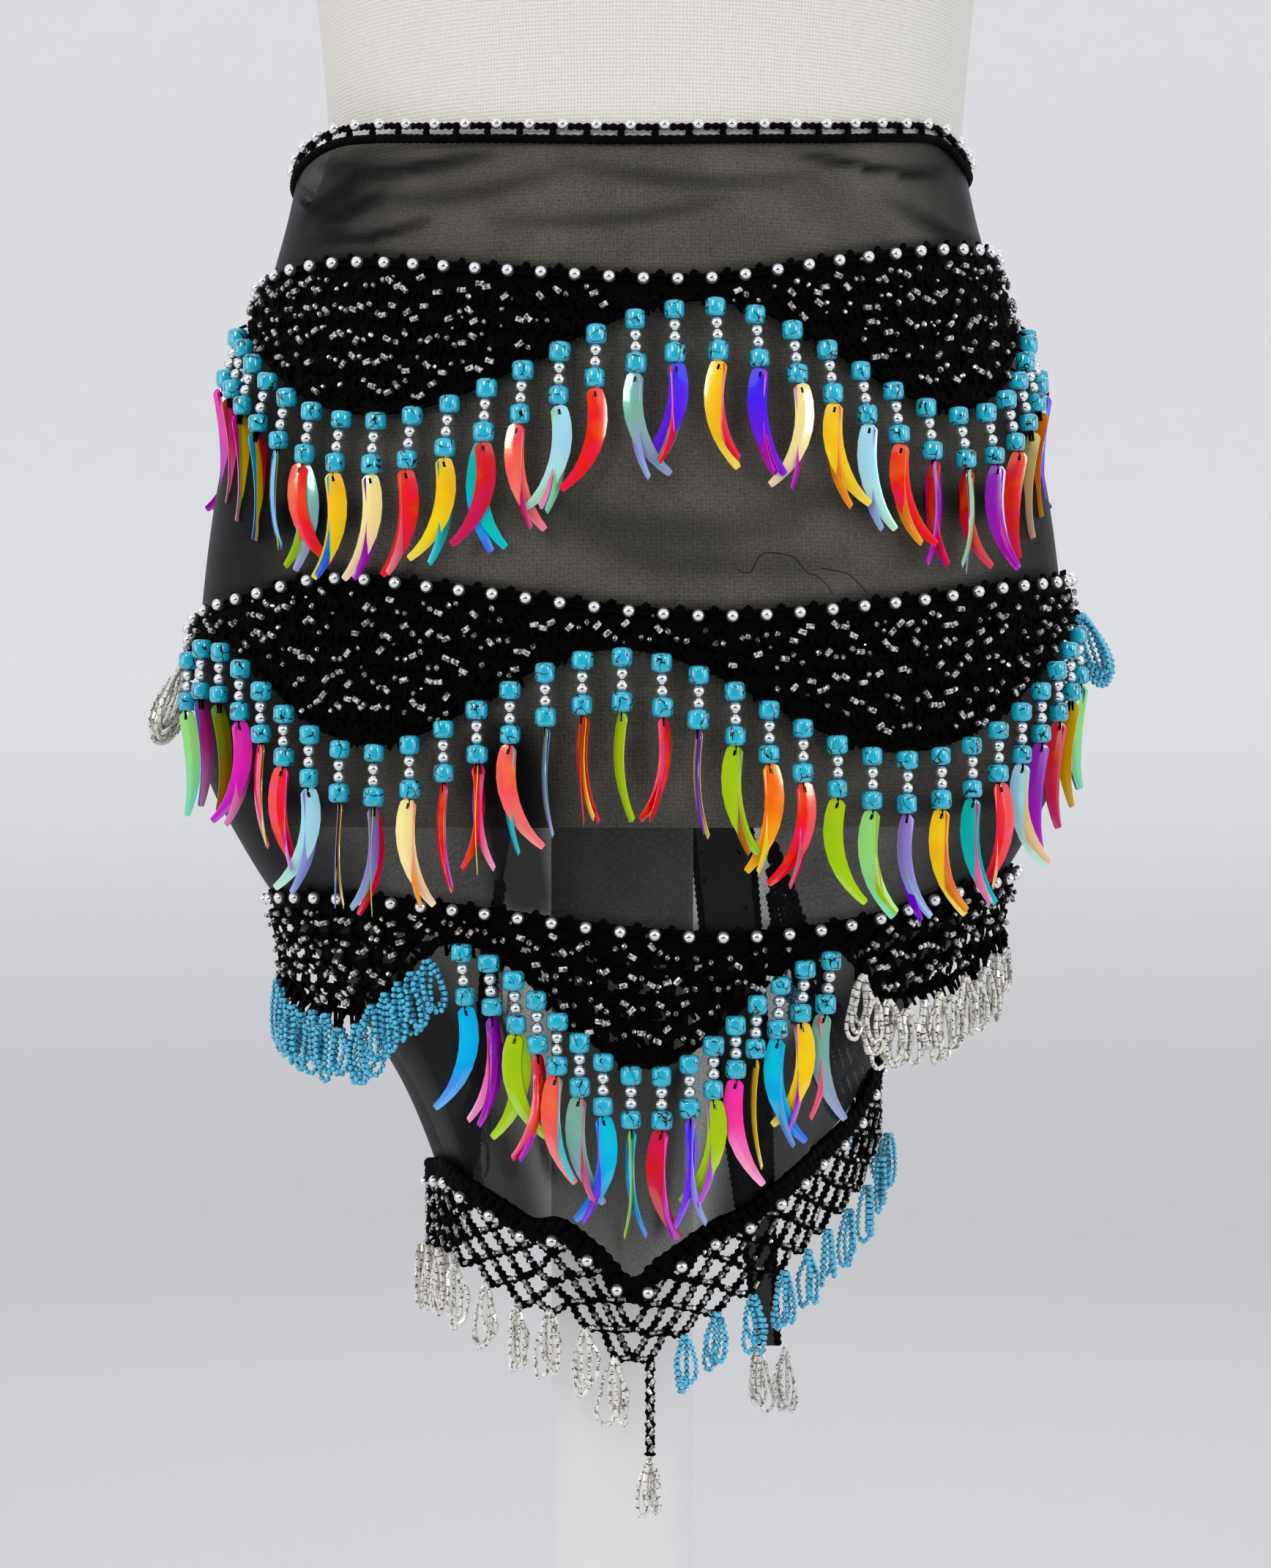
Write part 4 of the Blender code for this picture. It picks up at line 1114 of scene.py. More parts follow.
def loose_ends(band, angles, rng):
    """Yarn ends that hang below the looser crochet."""
    ends = []
    for angle in angles[::2]:
        if open_work(band, angle) > LOOSEST:
            low = band_levels(band, angle)[1]
            ends.append([band_place(band, angle, low + 0.001, LACE_WALL),
                         band_place(band, angle + rng.uniform(-1.6, 1.6),
                                    low - rng.uniform(0.001, 0.006), LACE_WALL + 0.0026)])
    return ends


def build_lace_band(band):
    last = BANDS[band][2]
    rng = random.Random(SEED + int(band[-1]))
    angles = np.linspace(-last, last, CURVE_POINTS)
    levels = np.array([band_levels(band, a) for a in angles])
    travel = travelled([band_place(band, a, top, 0.0) for a, (top, _) in zip(angles, levels)])
    length, depth = float(travel[-1]), float(np.mean(levels[:, 0] - levels[:, 1]))
    ground = build_lace_ground(band, angles, travel, depth)
    arcs, posts, seeds, tubes = shell_rows(band, angles, travel, rng)

    def chain(level, rise, out):
        """A chain along the bead line, level 0, or along the lower edge, level 1."""
        return [band_place(band, a, band_levels(band, a)[level] + rise, LACE_WALL * out)
                for a in np.linspace(-last, last, int(length / 0.003))]

    def bead_place(angle):
        return band_place(band, angle, band_levels(band, angle)[0], LACE_WALL + SILVER_OUT)

    rims = [chain(0, -0.0006, 1.0), chain(0, UPPER_CHAIN, FLAT_OUT),
            chain(1, EDGE_INSET, FLAT_OUT)]
    beads = spaced_angles(bead_place, -last, last, BEAD_PITCH)
    picots = lace_tabs(band, beads) + loose_ends(band, angles, rng)
    width = bpy.context.scene.hip_belt_sizes.yarn_width
    stitch = ball(1.0, 6, 4, (width * 0.66, width * 0.42, SHELL_ROW * 0.44))
    on_it = [crochet("lace_chains_" + band, rims + arcs, width / 2, 0.0028),
             crochet("lace_picots_" + band, picots, width * 0.36),
             copies("lace_stitches_" + band, [(stitch, posts)], "yarn"),
             sewn_glass("lace_glass_" + band, tubes, 0.94, seeds, 0.54),
             silver_row("lace_silver_beads_" + band, bead_place, -last, last)]


# ------------------------------------------------------------------------ the dangles
def band_chain(band):
    """Where a band's lower chain runs, and where its strands hang a drop below it."""
    def place(angle, drop=0.0):
        top, low = band_levels(band, angle)
        return hung_point(angle, low + STRIP_HEIGHT / 2 - drop, top, STRIP_OUT)

    return place


# share of a sequin's length, its width there in shares of the greatest
SEQUIN_OUTLINE = (
    (0.0, 0.36), (0.014, 0.64), (0.040, 0.84), (0.080, 0.92), (0.17, 0.98), (0.28, 1.0),
    (0.40, 0.97), (0.53, 0.89), (0.66, 0.76), (0.79, 0.60), (0.90, 0.46), (0.98, 0.37),
    (1.0, 0.28),
)
SEQUIN_START = -0.30         # how far a sequin sets off away from where its tip ends
SEQUIN_BENDS = (1.02, 1.22)  # how far they turn along their length, in radians
CALM_BEND = 0.66             # the same where they hang at a hip, close to the cloth
SEQUIN_COLUMNS = (-1.0, -0.15, 0.15, 1.0)
SEQUIN_HOLE_ROW, SEQUIN_HOLE = 2, 0.065      # its row, and its place in shares of the length
SEQUIN_STEPS = 60            # of the middle line's curve
SEQUIN_THICKNESS = 0.00022
SEQUIN_CUP = 0.0005          # how far the film's edges stand behind its middle
SEQUIN_BOW = 0.0011          # how far its middle stands before its ends


def sequin(side, bend):
    """A horn-shaped sequin with its thread hole at the origin, curving to one side."""
    sizes = bpy.context.scene.hip_belt_sizes
    shape = bmesh.new()
    rows, columns = len(SEQUIN_OUTLINE) - 1, len(SEQUIN_COLUMNS) - 1
    bmesh.ops.create_grid(shape, x_segments=columns, y_segments=rows, size=1.0)
    middle = [Vector((0.0, 0.0))]
    for i in range(SEQUIN_STEPS):
        turn = side * (SEQUIN_START + bend * (i + 0.5) / SEQUIN_STEPS)
        step = sizes.sequin_length / SEQUIN_STEPS
        middle.append(middle[-1] + Vector((math.sin(turn), -math.cos(turn))) * step)
    hole = SEQUIN_HOLE * sizes.sequin_length
    for face in list(shape.faces):
        spot = face.calc_center_median()
        row, column = int((1 - spot.y) / 2 * rows), int((spot.x + 1) / 2 * columns)
        if row == SEQUIN_HOLE_ROW and column == 1:
            shape.faces.remove(face)
    for vert in shape.verts:
        share, width = SEQUIN_OUTLINE[round((1 - vert.co.y) / 2 * rows)]
        across = SEQUIN_COLUMNS[round((vert.co.x + 1) / 2 * columns)]
        turn = side * (SEQUIN_START + bend * share)
        centre = middle[round(share * SEQUIN_STEPS)]
        half = across * width * sizes.sequin_width / 2
        depth = (SEQUIN_CUP * across * across * width
                 - SEQUIN_BOW * math.sin(math.pi * share))
        vert.co = (centre.x + math.cos(turn) * half, depth,
                   centre.y + hole + math.sin(turn) * half)
    shape.normal_update()
    bmesh.ops.solidify(shape, geom=shape.faces, thickness=SEQUIN_THICKNESS)
    bmesh.ops.recalc_face_normals(shape, faces=shape.faces)
    return unit(shape)


def sequin_tones(points, pairs, length):
    """Colours of sequins' points, one row a sequin, from film colour to a painted sheen colour at
    the tip.
    """
    share = np.clip((-points[:, 2] / length - 0.30) / 0.62, 0, 1)[None, :, None]
    first = np.array([p[0] for p in pairs])[:, None, :]
    sheen_colour = np.array([p[1] for p in pairs])[:, None, :]
    return first * (1 - share) + sheen_colour * share


# How far a sequin is turned from facing outward, for each way of hanging
SEQUIN_TURNS = {"<": 0.10, ">": 0.10, "(": 0.98, ")": 0.98, "|": 1.42}
DANGLE_GAP = 0.0008          # between the chain and the first bead
HOLE_GAP = 0.0030            # between the last bead and the sequins' holes
HIP_START, HIP_END = 58, 95  # degrees between which strands lie calmly against a hip


def hung_dangles(band, place):
    """Each dangle of a band: its angle, and its sequins as two letters each."""
    front = SEQUINS[band].split()
    hung = []
    for name, first, last, count in DANGLES:
        if name == band:
            at_front = first > -90 and last < 90
            for i, angle in enumerate(even_angles(place, first, last, count)):
                fans = front[i] if at_front else front[(i * 7 + int(abs(first))) % len(front)]
                hung.append((angle, [fans[k:k + 2] for k in range(0, len(fans), 2)]))
    return hung


def sequin_hang(hang, k, angle, rng):
    """Which way the k-th sequin of a dangle curves, by how much, its turn and its lean."""
    side = 1 if hang in ">)" else -1
    if hang == "|":
        side = rng.choice((1, -1))
    yaw = SEQUIN_TURNS[hang]
    yaw += rng.uniform(-0.08, 0.08) + (0.06 * k if hang in "()" else -0.22 * k)
    lean = side * rng.uniform(-0.06, 0.05) + (-0.09 * side * k if hang in "<>" else 0)
    if HIP_START < abs(angle) < HIP_END:
        side = 1 if angle > 0 else -1
        return side, CALM_BEND, yaw, -0.05 * side
    return side, rng.choice(SEQUIN_BENDS), yaw, lean


def build_dangles(band):
    sizes = bpy.context.scene.hip_belt_sizes
    rng = random.Random(SEED * 10 + int(band[-1]))
    place = band_chain(band)
    stone, bead = sizes.turquoise_height, sizes.silver_width
    drops = (DANGLE_GAP + stone / 2, DANGLE_GAP + stone + bead * 0.48,
             DANGLE_GAP + stone + bead * 1.44, DANGLE_GAP + stone * 1.5 + bead * 1.92)
    end = drops[3] + stone / 2
    hole_drop = end + HOLE_GAP
    stones, balls, strings = [], [], []
    kinds = [(side, bend) for side in (1, -1) for bend in SEQUIN_BENDS + (CALM_BEND,)]
    cut = {kind: ([], []) for kind in kinds}
    for angle, fans in hung_dangles(band, place):
        sway = rng.uniform(-0.02, 0.02)

        def spot(drop, out=0.0, along=0.0):
            return beside(place(angle, drop), angle, STRAND_OUT + out, along + sway * drop)

        for k in (0, 3):
            size = (rng.uniform(0.94, 1.05), rng.uniform(0.94, 1.05), rng.uniform(0.93, 1.05))
            stones.append(upright(spot(drops[k]), angle, size, rng.uniform(-0.07, 0.07),
                                  rng.uniform(-3, 3)))
        balls += [upright(spot(drops[k]), angle) for k in (1, 2)]
        strings.append([spot(-0.0008, -0.002), spot(0.0004), spot(end - 0.001)])
        strings += [[spot(end - 0.001, out), spot(hole_drop + 0.0006, out)]
                    for out in (0.0007, -0.0007)]
        facing = angle if abs(angle) > HIP_END else 0.30 * angle
        for k, (film, hang) in enumerate(fans):
            side, bend, yaw, lean = sequin_hang(hang, k, angle, rng)
            at = spot(hole_drop, 0.0010 - 0.0011 * k, side * 0.0004 * k)
            places, pairs = cut[side, bend]
            # the tip turns away from the cloth: forward is local -Y
            places.append(upright(at, facing, lean=-lean, turn=-side * yaw))
            pairs.append([linear(colour) for colour in FILMS[film]])
    drum = barrel(sizes.turquoise_width, stone, 14, stone * 0.24)
    copies("turquoise_beads_" + band, [(drum, stones)], "turquoise",
           ("dangles_" + band,))
    copies("silver_beads_" + band, [(ball(bead / 2, 14, 9, (1, 1, 0.96)), balls)], "silver")
    crochet("dangle_threads_" + band, strings, sizes.yarn_width * 0.26)
    parts, tones = [], []
    for kind, (places, pairs) in cut.items():
        if places:
            made = sequin(*kind)
            parts.append((made, places))
            tones.append(sequin_tones(made[0], pairs, sizes.sequin_length))
    copies("sequins_" + band, parts, "film", sharp=50, tones=tones)


# ------------------------------------------------------------------------- bead loops
LOOP_STEPS = 24              # round one loop
LOOP_FAN = 0.30              # how far a bunch spreads, in shares of its length
LOOP_LAYER = 0.0009          # between loops that hang before one another


def loop_paths(place, angle, length, count, rng, width=0.0092, start=0.0, flare=0.0):
    """Teardrop loops of beads that hang from one point, fanned round it."""
    paths = []
    for k in range(count):
        turn = rng.uniform(-0.7, 0.7) + (1.1 if flare else 0.0)
        drop_by = (length - start) * (rng.uniform(0.76, 1.0) if k else 0.98)
        wide = width * rng.uniform(0.55, 1.25)
        lean = LOOP_FAN * (k + 0.5) / count - LOOP_FAN / 2 + rng.uniform(-0.07, 0.07)
        curl = rng.uniform(-0.0010, 0.0010)
        path = []
        for i in range(LOOP_STEPS + 1):
            round_by = 2 * math.pi * i / LOOP_STEPS
            share = (1 - math.cos(round_by)) / 2
            across = wide * 0.42 * math.sin(round_by) * share**0.35
            drop = drop_by * share
            out = STRAND_OUT + across * math.sin(turn) + LOOP_LAYER * (k % 3 - 1) + flare * drop
            wave = curl * math.sin(3 * math.pi * share)
            path.append(beside(place(angle, start + drop), angle, out,
                               across * math.cos(turn) + lean * drop + wave))
        paths.append(path)
    return paths


def bead_string(name, paths, colour, nodes=()):
    """Seed beads threaded along paths, and their thread."""
    sizes = bpy.context.scene.hip_belt_sizes
    seeds = colour == "aqua"
    width = sizes.seed_width * (1.04 if seeds else 0.76)
    pitch = width * 0.98 if seeds else sizes.bugle_length * 1.06
    places = []
    for path in paths:
        points = resampled(path, pitch)
        for here, there in zip(points, points[1:]):
            way = there - here
            places.append(aimed((here + there) / 2, way, roll=len(places) * 0.7))
    shape = (ball(width / 2, 6, 4, (1, 1, 0.90)) if seeds
             else barrel(width, sizes.bugle_length * 0.92, 6))
    copies(name, [(shape, places)], colour, nodes,
           None if seeds else 25)
    crochet(name + "_thread", [resampled(p, 0.004) for p in paths], sizes.yarn_width * 0.16)


STUB_WIDTH = 0.0019          # of the crocheted ends the loops hang from


def build_end_loops():
    rng = random.Random(SEED + 50)
    for node_name, band, first, last, count, colour in END_LOOPS:
        place = band_chain(band)
        paths, stubs = [], []
        # the middle row's ends swing out from the hips
        at_hip = band != "row_3"
        crowd, width, flare = (count + 1, 0.017, 0.30) if at_hip else (round(1.6 * count), 0.013, 0)
        for angle in even_angles(place, first, last, crowd):
            start = 0.0 if at_hip else rng.uniform(0.0, 0.006)
            length = (LOOP_LENGTH - start / 2) * rng.uniform(0.9, 1.04)
            paths += loop_paths(place, angle, length, 3, rng, width, start, flare)
            stubs.append([beside(place(angle, drop), angle, STRAND_OUT * share)
                          for drop, share in ((-0.001, 0.3), (start / 2, 0.8), (start + 0.001, 1))])
        crochet(node_name.replace("loops", "bead_stubs"), stubs, STUB_WIDTH / 2, 0.0022, 6)
        bead_string(node_name.replace("loops", "bead_loops"), paths, colour, (node_name,))


# ------------------------------------------------------------------------ the hem net
def net_place(angle, drop, out=0.0):
    top = hem(angle) + NET_LAP
    x, y, _ = cloth_point(angle, top, NET_LAY + out)
    return (x, y, top - drop)


def net_angles(side):
    """Angles of the net's half meshes, from the middle front to its end behind."""
    def line(angle):
        return net_place(angle, 0.0)

    first, last = 0.35 * side, NET_END * side
    length = travelled([line(a) for a in np.linspace(first, last, CURVE_POINTS)])[-1]
    return even_angles(line, first, last, 2 * round(length / NET_PITCH) + 1)


NET_MESHES = 5               # half meshes from the hem edge to the loops, as crocheted
NET_SAG = 0.0008             # of a yarn between two knots
HEM_EDGE_FLAT = 0.010        # width of the solid crochet when it is laid flat
SCALLOP = 0.0012             # of its lower edge
PUFF_PITCH = 0.0042          # of the raised stitches on it
PUFF_DROPS = (0.0012, 0.0042, 0.0068)        # their rows
PUFF_SIZE, KNOT_TIE_SIZE = (0.0026, 0.0017, 0.0022), (0.0019, 0.0015, 0.0019)
GLASS_SHARES = (0.34, 0.64)  # where glass sits along a yarn of the net
NET_GLASS, NET_TUBES = 0.66, 0.70            # share of places with glass, of long ones in it


def hem_puffs(at, angles, length, rng):
    """Raised stitches on the solid crochet along the hem."""
    last = len(angles) - 1
    puffs = []
    for k in range(int(length / PUFF_PITCH)):
        for row, drop in enumerate(PUFF_DROPS):
            step = last * (k + 0.5 * (row % 2) + rng.uniform(-0.15, 0.15)) * PUFF_PITCH / length
            if step < last:
                size = tuple(rng.uniform(0.85, 1.2) for _ in range(3))
                puffs.append(upright(at(step, drop, NET_WALL / 2 + 0.0006), angles[int(step)],
                                     size, lean=rng.uniform(-0.6, 0.6)))
    return puffs


def net_meshes(at, angles, rng):
    """The net's diamonds: yarns, knots where they cross, seed beads and glass tubes."""
    last = len(angles) - 1
    height = NET_LEVELS * NET_STEP / NET_MESHES
    crossings = {}
    for level in range(NET_MESHES + 1):
        for step in range(level % 2, last + 1, 2):
            loose = 0.0 if level == 0 else 0.07
            crossings[step, level] = at(
                min(max(step + rng.uniform(-loose, loose), 0), last),
                NET_BAND + level * height + rng.uniform(-0.0006, 0.0006) * (level > 0),
                NET_WALL / 2)
    strands, knots, seeds, tubes = [], [], [], []
    for (step, level), here in crossings.items():
        if level:
            knots.append(upright(here, angles[step], (0.9, 0.8, 0.9)))
        for ahead in (1, -1):
            there = crossings.get((step + ahead, level + 1))
            if there is None:
                continue
            a, b = Vector(here), Vector(there)
            out, _ = sideways(angles[step])
            strands.append([a, (a + b) / 2 + out * 0.0004 - Vector((0, 0, NET_SAG)), b])
            for share in GLASS_SHARES:
                if rng.random() < NET_GLASS:
                    spot = a.lerp(b, share + rng.uniform(-0.05, 0.05)) + out * 0.0013
                    group = tubes if rng.random() < NET_TUBES else seeds
                    group.append(aimed(spot, b - a))
    return strands, knots, seeds, tubes


def build_hem_net(side):
    name = "left" if side < 0 else "right"
    rng = random.Random(SEED + 60 + side)
    angles = net_angles(side)
    last = len(angles) - 1
    outer = NET_WALL / 2

    def at(step, drop, out=0.0):
        low = min(max(int(math.floor(step)), 0), last - 1)
        angle = angles[low] + (angles[low + 1] - angles[low]) * (step - low)
        return net_place(angle, drop, out)

    def edge_point(u, v):
        step = last * (u if side > 0 else 1 - u)
        scallop = SCALLOP * abs(math.sin(math.pi * step * 0.9))
        return at(step, (NET_BAND + 0.0006 + scallop) * v - 0.0010 * (1 - v), outer)

    length = sum(math.dist(at(i, 0), at(i + 1, 0)) for i in range(last))
    ground = mapped_grid(int(length / 0.0020), 5, edge_point, (length, HEM_EDGE_FLAT))
    ground = show_shape("hem_edge_" + name, ground, "yarn", "hem_net_" + name)
    puffs = hem_puffs(at, angles, length, rng)
    strands, knots, seeds, tubes = net_meshes(at, angles, rng)
    balls = [upright(at(min(step + 0.9, last), NET_BAND + 0.0012, outer + 0.0020),
                     angles[min(step, last)]) for step in range(0, last, 2)]
    stitches = [(ball(1.0, 8, 6, PUFF_SIZE), puffs), (ball(1.0, 8, 6, KNOT_TIE_SIZE), knots)]
    width = bpy.context.scene.hip_belt_sizes.yarn_width
    on_it = [crochet("hem_net_yarn_" + name, strands, width * 0.62, 0.0026, 6, 0.30),
             copies("hem_stitches_" + name, stitches, "yarn"),
             sewn_glass("hem_glass_" + name, tubes, 0.75, seeds, 0.48),
             silver_balls("hem_silver_beads_" + name, balls)]


def build_hem_loops(side):
    rng = random.Random(SEED + 70 + side)
    name, colour = ("left", "clear") if side < 0 else ("right", "aqua")
    length = HEM_LOOPS_LEFT if side < 0 else HEM_LOOPS_RIGHT
    chain = NET_BAND + NET_LEVELS * NET_STEP + NET_YARN - STRIP_HEIGHT

    def place(angle, drop=0.0):
        return net_place(angle, chain + drop, NET_WALL + 0.0014 - STRAND_OUT * 0.4)

    angles = [a for i, a in enumerate(net_angles(side)) if i % 2 == NET_LEVELS % 2]
    paths = []
    for angle in angles[1:] if side > 0 else angles:
        paths += loop_paths(place, angle, length, 3, rng, 0.0100)
    bead_string("hem_bead_loops_" + name, paths, colour, ("hem_loops_" + name,))
    if side > 0:
        build_centre_drop(place, angles[0], rng)


DROP_LOOPS = 0.024           # length of the loops that end the centre drop
DROP_BEAD_PITCH = 0.0031


def build_centre_drop(place, angle, rng):
    """The longer drop at the belt's point: a beaded chain that ends in clear loops."""
    width = bpy.context.scene.hip_belt_sizes.yarn_width
    chain_length = CENTRE_DROP - DROP_LOOPS

    def spot(drop, out=0.0, along=0.0):
        return beside(place(angle, drop), angle, STRAND_OUT + out, along)

    chains = [[spot(chain_length * i / 12, 0.0, side * 0.0009 * math.sin(i * 1.7))
               for i in range(13)] for side in (1, -1)]
    crochet("centre_drop_chain", chains, width * 0.60, 0.0024, 6, 0.26)
    places = []
    for i in range(int(chain_length / DROP_BEAD_PITCH)):
        drop, side = 0.002 + i * DROP_BEAD_PITCH, (-1) ** i
        places.append(upright(spot(drop, 0.0016, 0.0006 * side), angle, lean=0.5 * side))
    sewn_glass("centre_drop_glass", places, 0.78, length=0.9)
    bead_string("centre_drop_loops", loop_paths(place, angle, CENTRE_DROP, 4, rng, 0.0085,
                                                chain_length), "clear")


# ------------------------------------------------------------------- knot and tails
KNOT_STEPS = 72              # points round the knot's closed curve
TAIL_BUNCHES = (176.6, 183.4)        # angles of the loops at each tail's tip


def build_knot():
    """The belt's two corners tied behind: a half knot of gathered chiffon."""
    wide, deep, tall = KNOT_SIZE
    back = figure_point(180, KNOT_HEIGHT, 0.0)[1]
    middle = Vector((FIGURE_SHIFT, back + deep - KNOT_SINK, KNOT_HEIGHT))
    path = []
    for i in range(KNOT_STEPS + 1):
        t = 2 * math.pi * i / KNOT_STEPS
        path.append(middle + Vector(((math.sin(t) + 2 * math.sin(2 * t)) * wide * 0.25,
                                     math.sin(3 * t) * deep * 0.42,
                                     (math.cos(t) - 2 * math.cos(2 * t)) * tall * 0.22)))
    mesh = yarn("corner_knot", [path], deep * 0.52, sides=20)
    mesh.update()
    for vert in mesh.vertices:
        away = vert.co - middle
        swirl = math.atan2(away.z, away.x) * 5 + away.length * 900
        vert.co = vert.co + vert.normal * (0.0006 * math.sin(swirl)
                                           + 0.0004 * math.sin(swirl * 2.3 + vert.co.y * 700))
    mesh.uv_layers.new(name="cloth")
    add_bunching_and_shade(mesh, [1.0] * len(mesh.vertices))
    knot = show("corner_knot", mesh, "chiffon", ("knot",))
    layer = knot.data.uv_layers["cloth"].data
    for loop in knot.data.loops:
        spot = knot.data.vertices[loop.vertex_index].co
        layer[loop.index].uv = (spot.x + spot.y, spot.z)
    return knot


def tail_point(across, share, top_x, tip_x, tip_height, lift=0.0):
    height = TAIL_TOP + (tip_height - TAIL_TOP) * share
    width = TAIL_WIDTH + (TAIL_TIP_WIDTH - TAIL_WIDTH) * share**1.5
    middle = top_x + (tip_x - top_x) * share
    resting = min(max(HIP_HEIGHT, height), TAIL_TOP)
    back = figure_point(180, resting, 0.0)[1]
    pleat = TAIL_PLEAT * (1 - share) * (1 - math.cos(2 * math.pi * (across + 1))) / 2
    sway = 0.0012 * math.sin(9 * share + 2 * across)
    return (middle + across * width / 2 + sway, back + TAIL_OUT + 0.0005 + pleat + lift, height)


def build_tails():
    width = bpy.context.scene.hip_belt_sizes.yarn_width
    rng = random.Random(SEED + 80)
    for name, top_x, tip_x, tip_height in TAILS:
        shape = (top_x, tip_x, tip_height)
        length = TAIL_TOP - tip_height

        def point(u, v, shape=shape):
            return tail_point(1 - 2 * u, v, *shape)

        grid = mapped_grid(20, 70, point, (TAIL_WIDTH * 1.4, length))
        mesh = from_bmesh(name + "_cloth", grid)
        add_bunching_and_shade(mesh, [1.0] * len(mesh.vertices))
        cloth = show(name + "_cloth", mesh, "chiffon", (name,))
        steps = [i / 60 for i in range(61)]
        edges = [[tail_point(side, s, *shape, lift=0.0008) for s in steps] for side in (-1, 1)]
        balls, tubes = [], []
        for i in range(int(length / BEAD_PITCH)):
            share = (i + 0.7) * BEAD_PITCH / length
            for side in (-1, 1):
                spot = tail_point(side, share, *shape, lift=0.0024)
                balls.append(Matrix.Translation(spot))
                spot = tail_point(side * rng.uniform(0.55, 0.95), share + 0.006 / length,
                                  *shape, lift=0.0022)
                tubes.append(aimed(spot, (rng.uniform(-1, 1), 0, rng.uniform(-1, 1))))
        trims = [crochet(name + "_edge", edges, width * 0.8, 0.0030, 6, 0.2),
                 silver_balls(name + "_silver_beads", balls, 12, 8),
                 sewn_glass(name + "_glass", tubes, 0.75)]
        tip = tail_point(0.0, 1.0, *shape)

        def place(angle, drop=0.0, tip=tip):
            return (tip[0] - math.radians(angle - 180) * 0.1, tip[1] - 0.002,
                    tip[2] - STRIP_HEIGHT / 2 - drop)

        paths = []
        for angle in TAIL_BUNCHES:
            paths += loop_paths(place, angle, LOOP_LENGTH, 4, rng)
        bead_string(name.replace("tail", "tail_bead_loops"), paths, "clear",
                    (name.replace("tail", "tail_loops"),))


# -------------------------------------------------------------------------- the stage
def place_in_scene(name, data, place=(0, 0, 0)):
    thing = bpy.data.objects.new(name, data)
    thing.location = place
    bpy.context.scene.collection.objects.link(thing)
    return thing


SWEEP_RADIUS, SWEEP_HEIGHT, SWEEP_BEND = 6.0, 5.0, 2.2
FLAG_WIDTH, FLAG_HEIGHT = 5.0, 1.9
FLAG_PLACE = (0.0, -3.3, 1.0)
CAMERA_PLACE, CAMERA_LENS, CAMERA_SENSOR = (0.0054, -1.15, 0.80), 65, 36
SKY_COLOUR, SKY_STRENGTH = "#fbfbfc", 0.95
WARM_LIGHT, COOL_LIGHT = "#fffaf2", "#f6f9ff"
LIGHTS_AIM = (0, 0, 0.85)
# name, place, width, power, colour
LIGHTS = (
    ("key_softbox", (-1.4, -2.3, 1.9), 0.7, 17, WARM_LIGHT),
    ("fill_softbox", (1.7, -2.2, 1.5), 0.6, 9, COOL_LIGHT),
    ("left_softbox", (-2.6, -0.9, 1.1), 1.2, 9, COOL_LIGHT),
    ("right_softbox", (2.6, -0.9, 1.1), 1.2, 10, COOL_LIGHT),
    ("back_softbox", (0.4, 2.4, 2.3), 1.6, 8, COOL_LIGHT),
)


def build_stage():
    sweep = rounded(((0.0, 0.0), (SWEEP_RADIUS, 0.0), (SWEEP_RADIUS, SWEEP_HEIGHT)),
                    SWEEP_BEND, 16)
    shape = turned(sweep, 96)
    bmesh.ops.reverse_faces(shape, faces=[f for f in shape.faces if f.normal.z < 0
                                          or f.normal.dot(f.calc_center_median()) > 0])
    mesh = from_bmesh("studio_sweep", shape)
    mesh.materials.append(finish("paper"))
    mesh.shade_smooth()
    place_in_scene("studio_sweep", mesh)

    world = bpy.data.worlds.new("studio_world")
    world.use_nodes = True
    sky = world.node_tree.nodes["Background"]
    sky.inputs["Color"].default_value = (*linear(SKY_COLOUR), 1)
    sky.inputs["Strength"].default_value = SKY_STRENGTH
    bpy.context.scene.world = world
    for name, place, width, power, colour in LIGHTS:
        lamp = bpy.data.lights.new(name, 'AREA')
        lamp.size, lamp.energy, lamp.color = width, power, linear(colour)
        light = place_in_scene(name, lamp, place)
        aim = Vector(LIGHTS_AIM) - Vector(place)
        light.rotation_euler = aim.to_track_quat('-Z', 'Y').to_euler()
        light.visible_camera = False

    # a black flag in front, seen only in what shines, gives beads and sequins their contrast
    card = bmesh.new()
    bmesh.ops.create_grid(card, x_segments=1, y_segments=1, size=1.0)
    bmesh.ops.scale(card, vec=(FLAG_WIDTH / 2, FLAG_HEIGHT / 2, 1), verts=card.verts)
    bmesh.ops.rotate(card, verts=card.verts, matrix=Matrix.Rotation(math.pi / 2, 3, 'X'))
    bmesh.ops.translate(card, verts=card.verts, vec=FLAG_PLACE)
    mesh = from_bmesh("black_flag", card)
    mesh.materials.append(surface("black_velvet", linear("#1c1c1f"), Roughness=1.0)[0])
    flag = place_in_scene("black_flag", mesh)
    flag.visible_camera = flag.visible_diffuse = flag.visible_shadow = False
    flag.visible_transmission = False

    camera = bpy.data.cameras.new("camera")
    camera.lens, camera.sensor_width = CAMERA_LENS, CAMERA_SENSOR
    eye = place_in_scene("camera", camera, CAMERA_PLACE)
    eye.rotation_euler = (math.pi / 2, 0, 0)
    bpy.context.scene.camera = eye
    bpy.context.scene.view_settings.view_transform = 'Standard'


# ------------------------------------------------------------------------- the add-on
def length_prop(name, description, default):
    return bpy.props.FloatProperty(name=name, description=description, default=default,
                                   min=0.0002, soft_max=0.1, precision=4, unit='LENGTH')


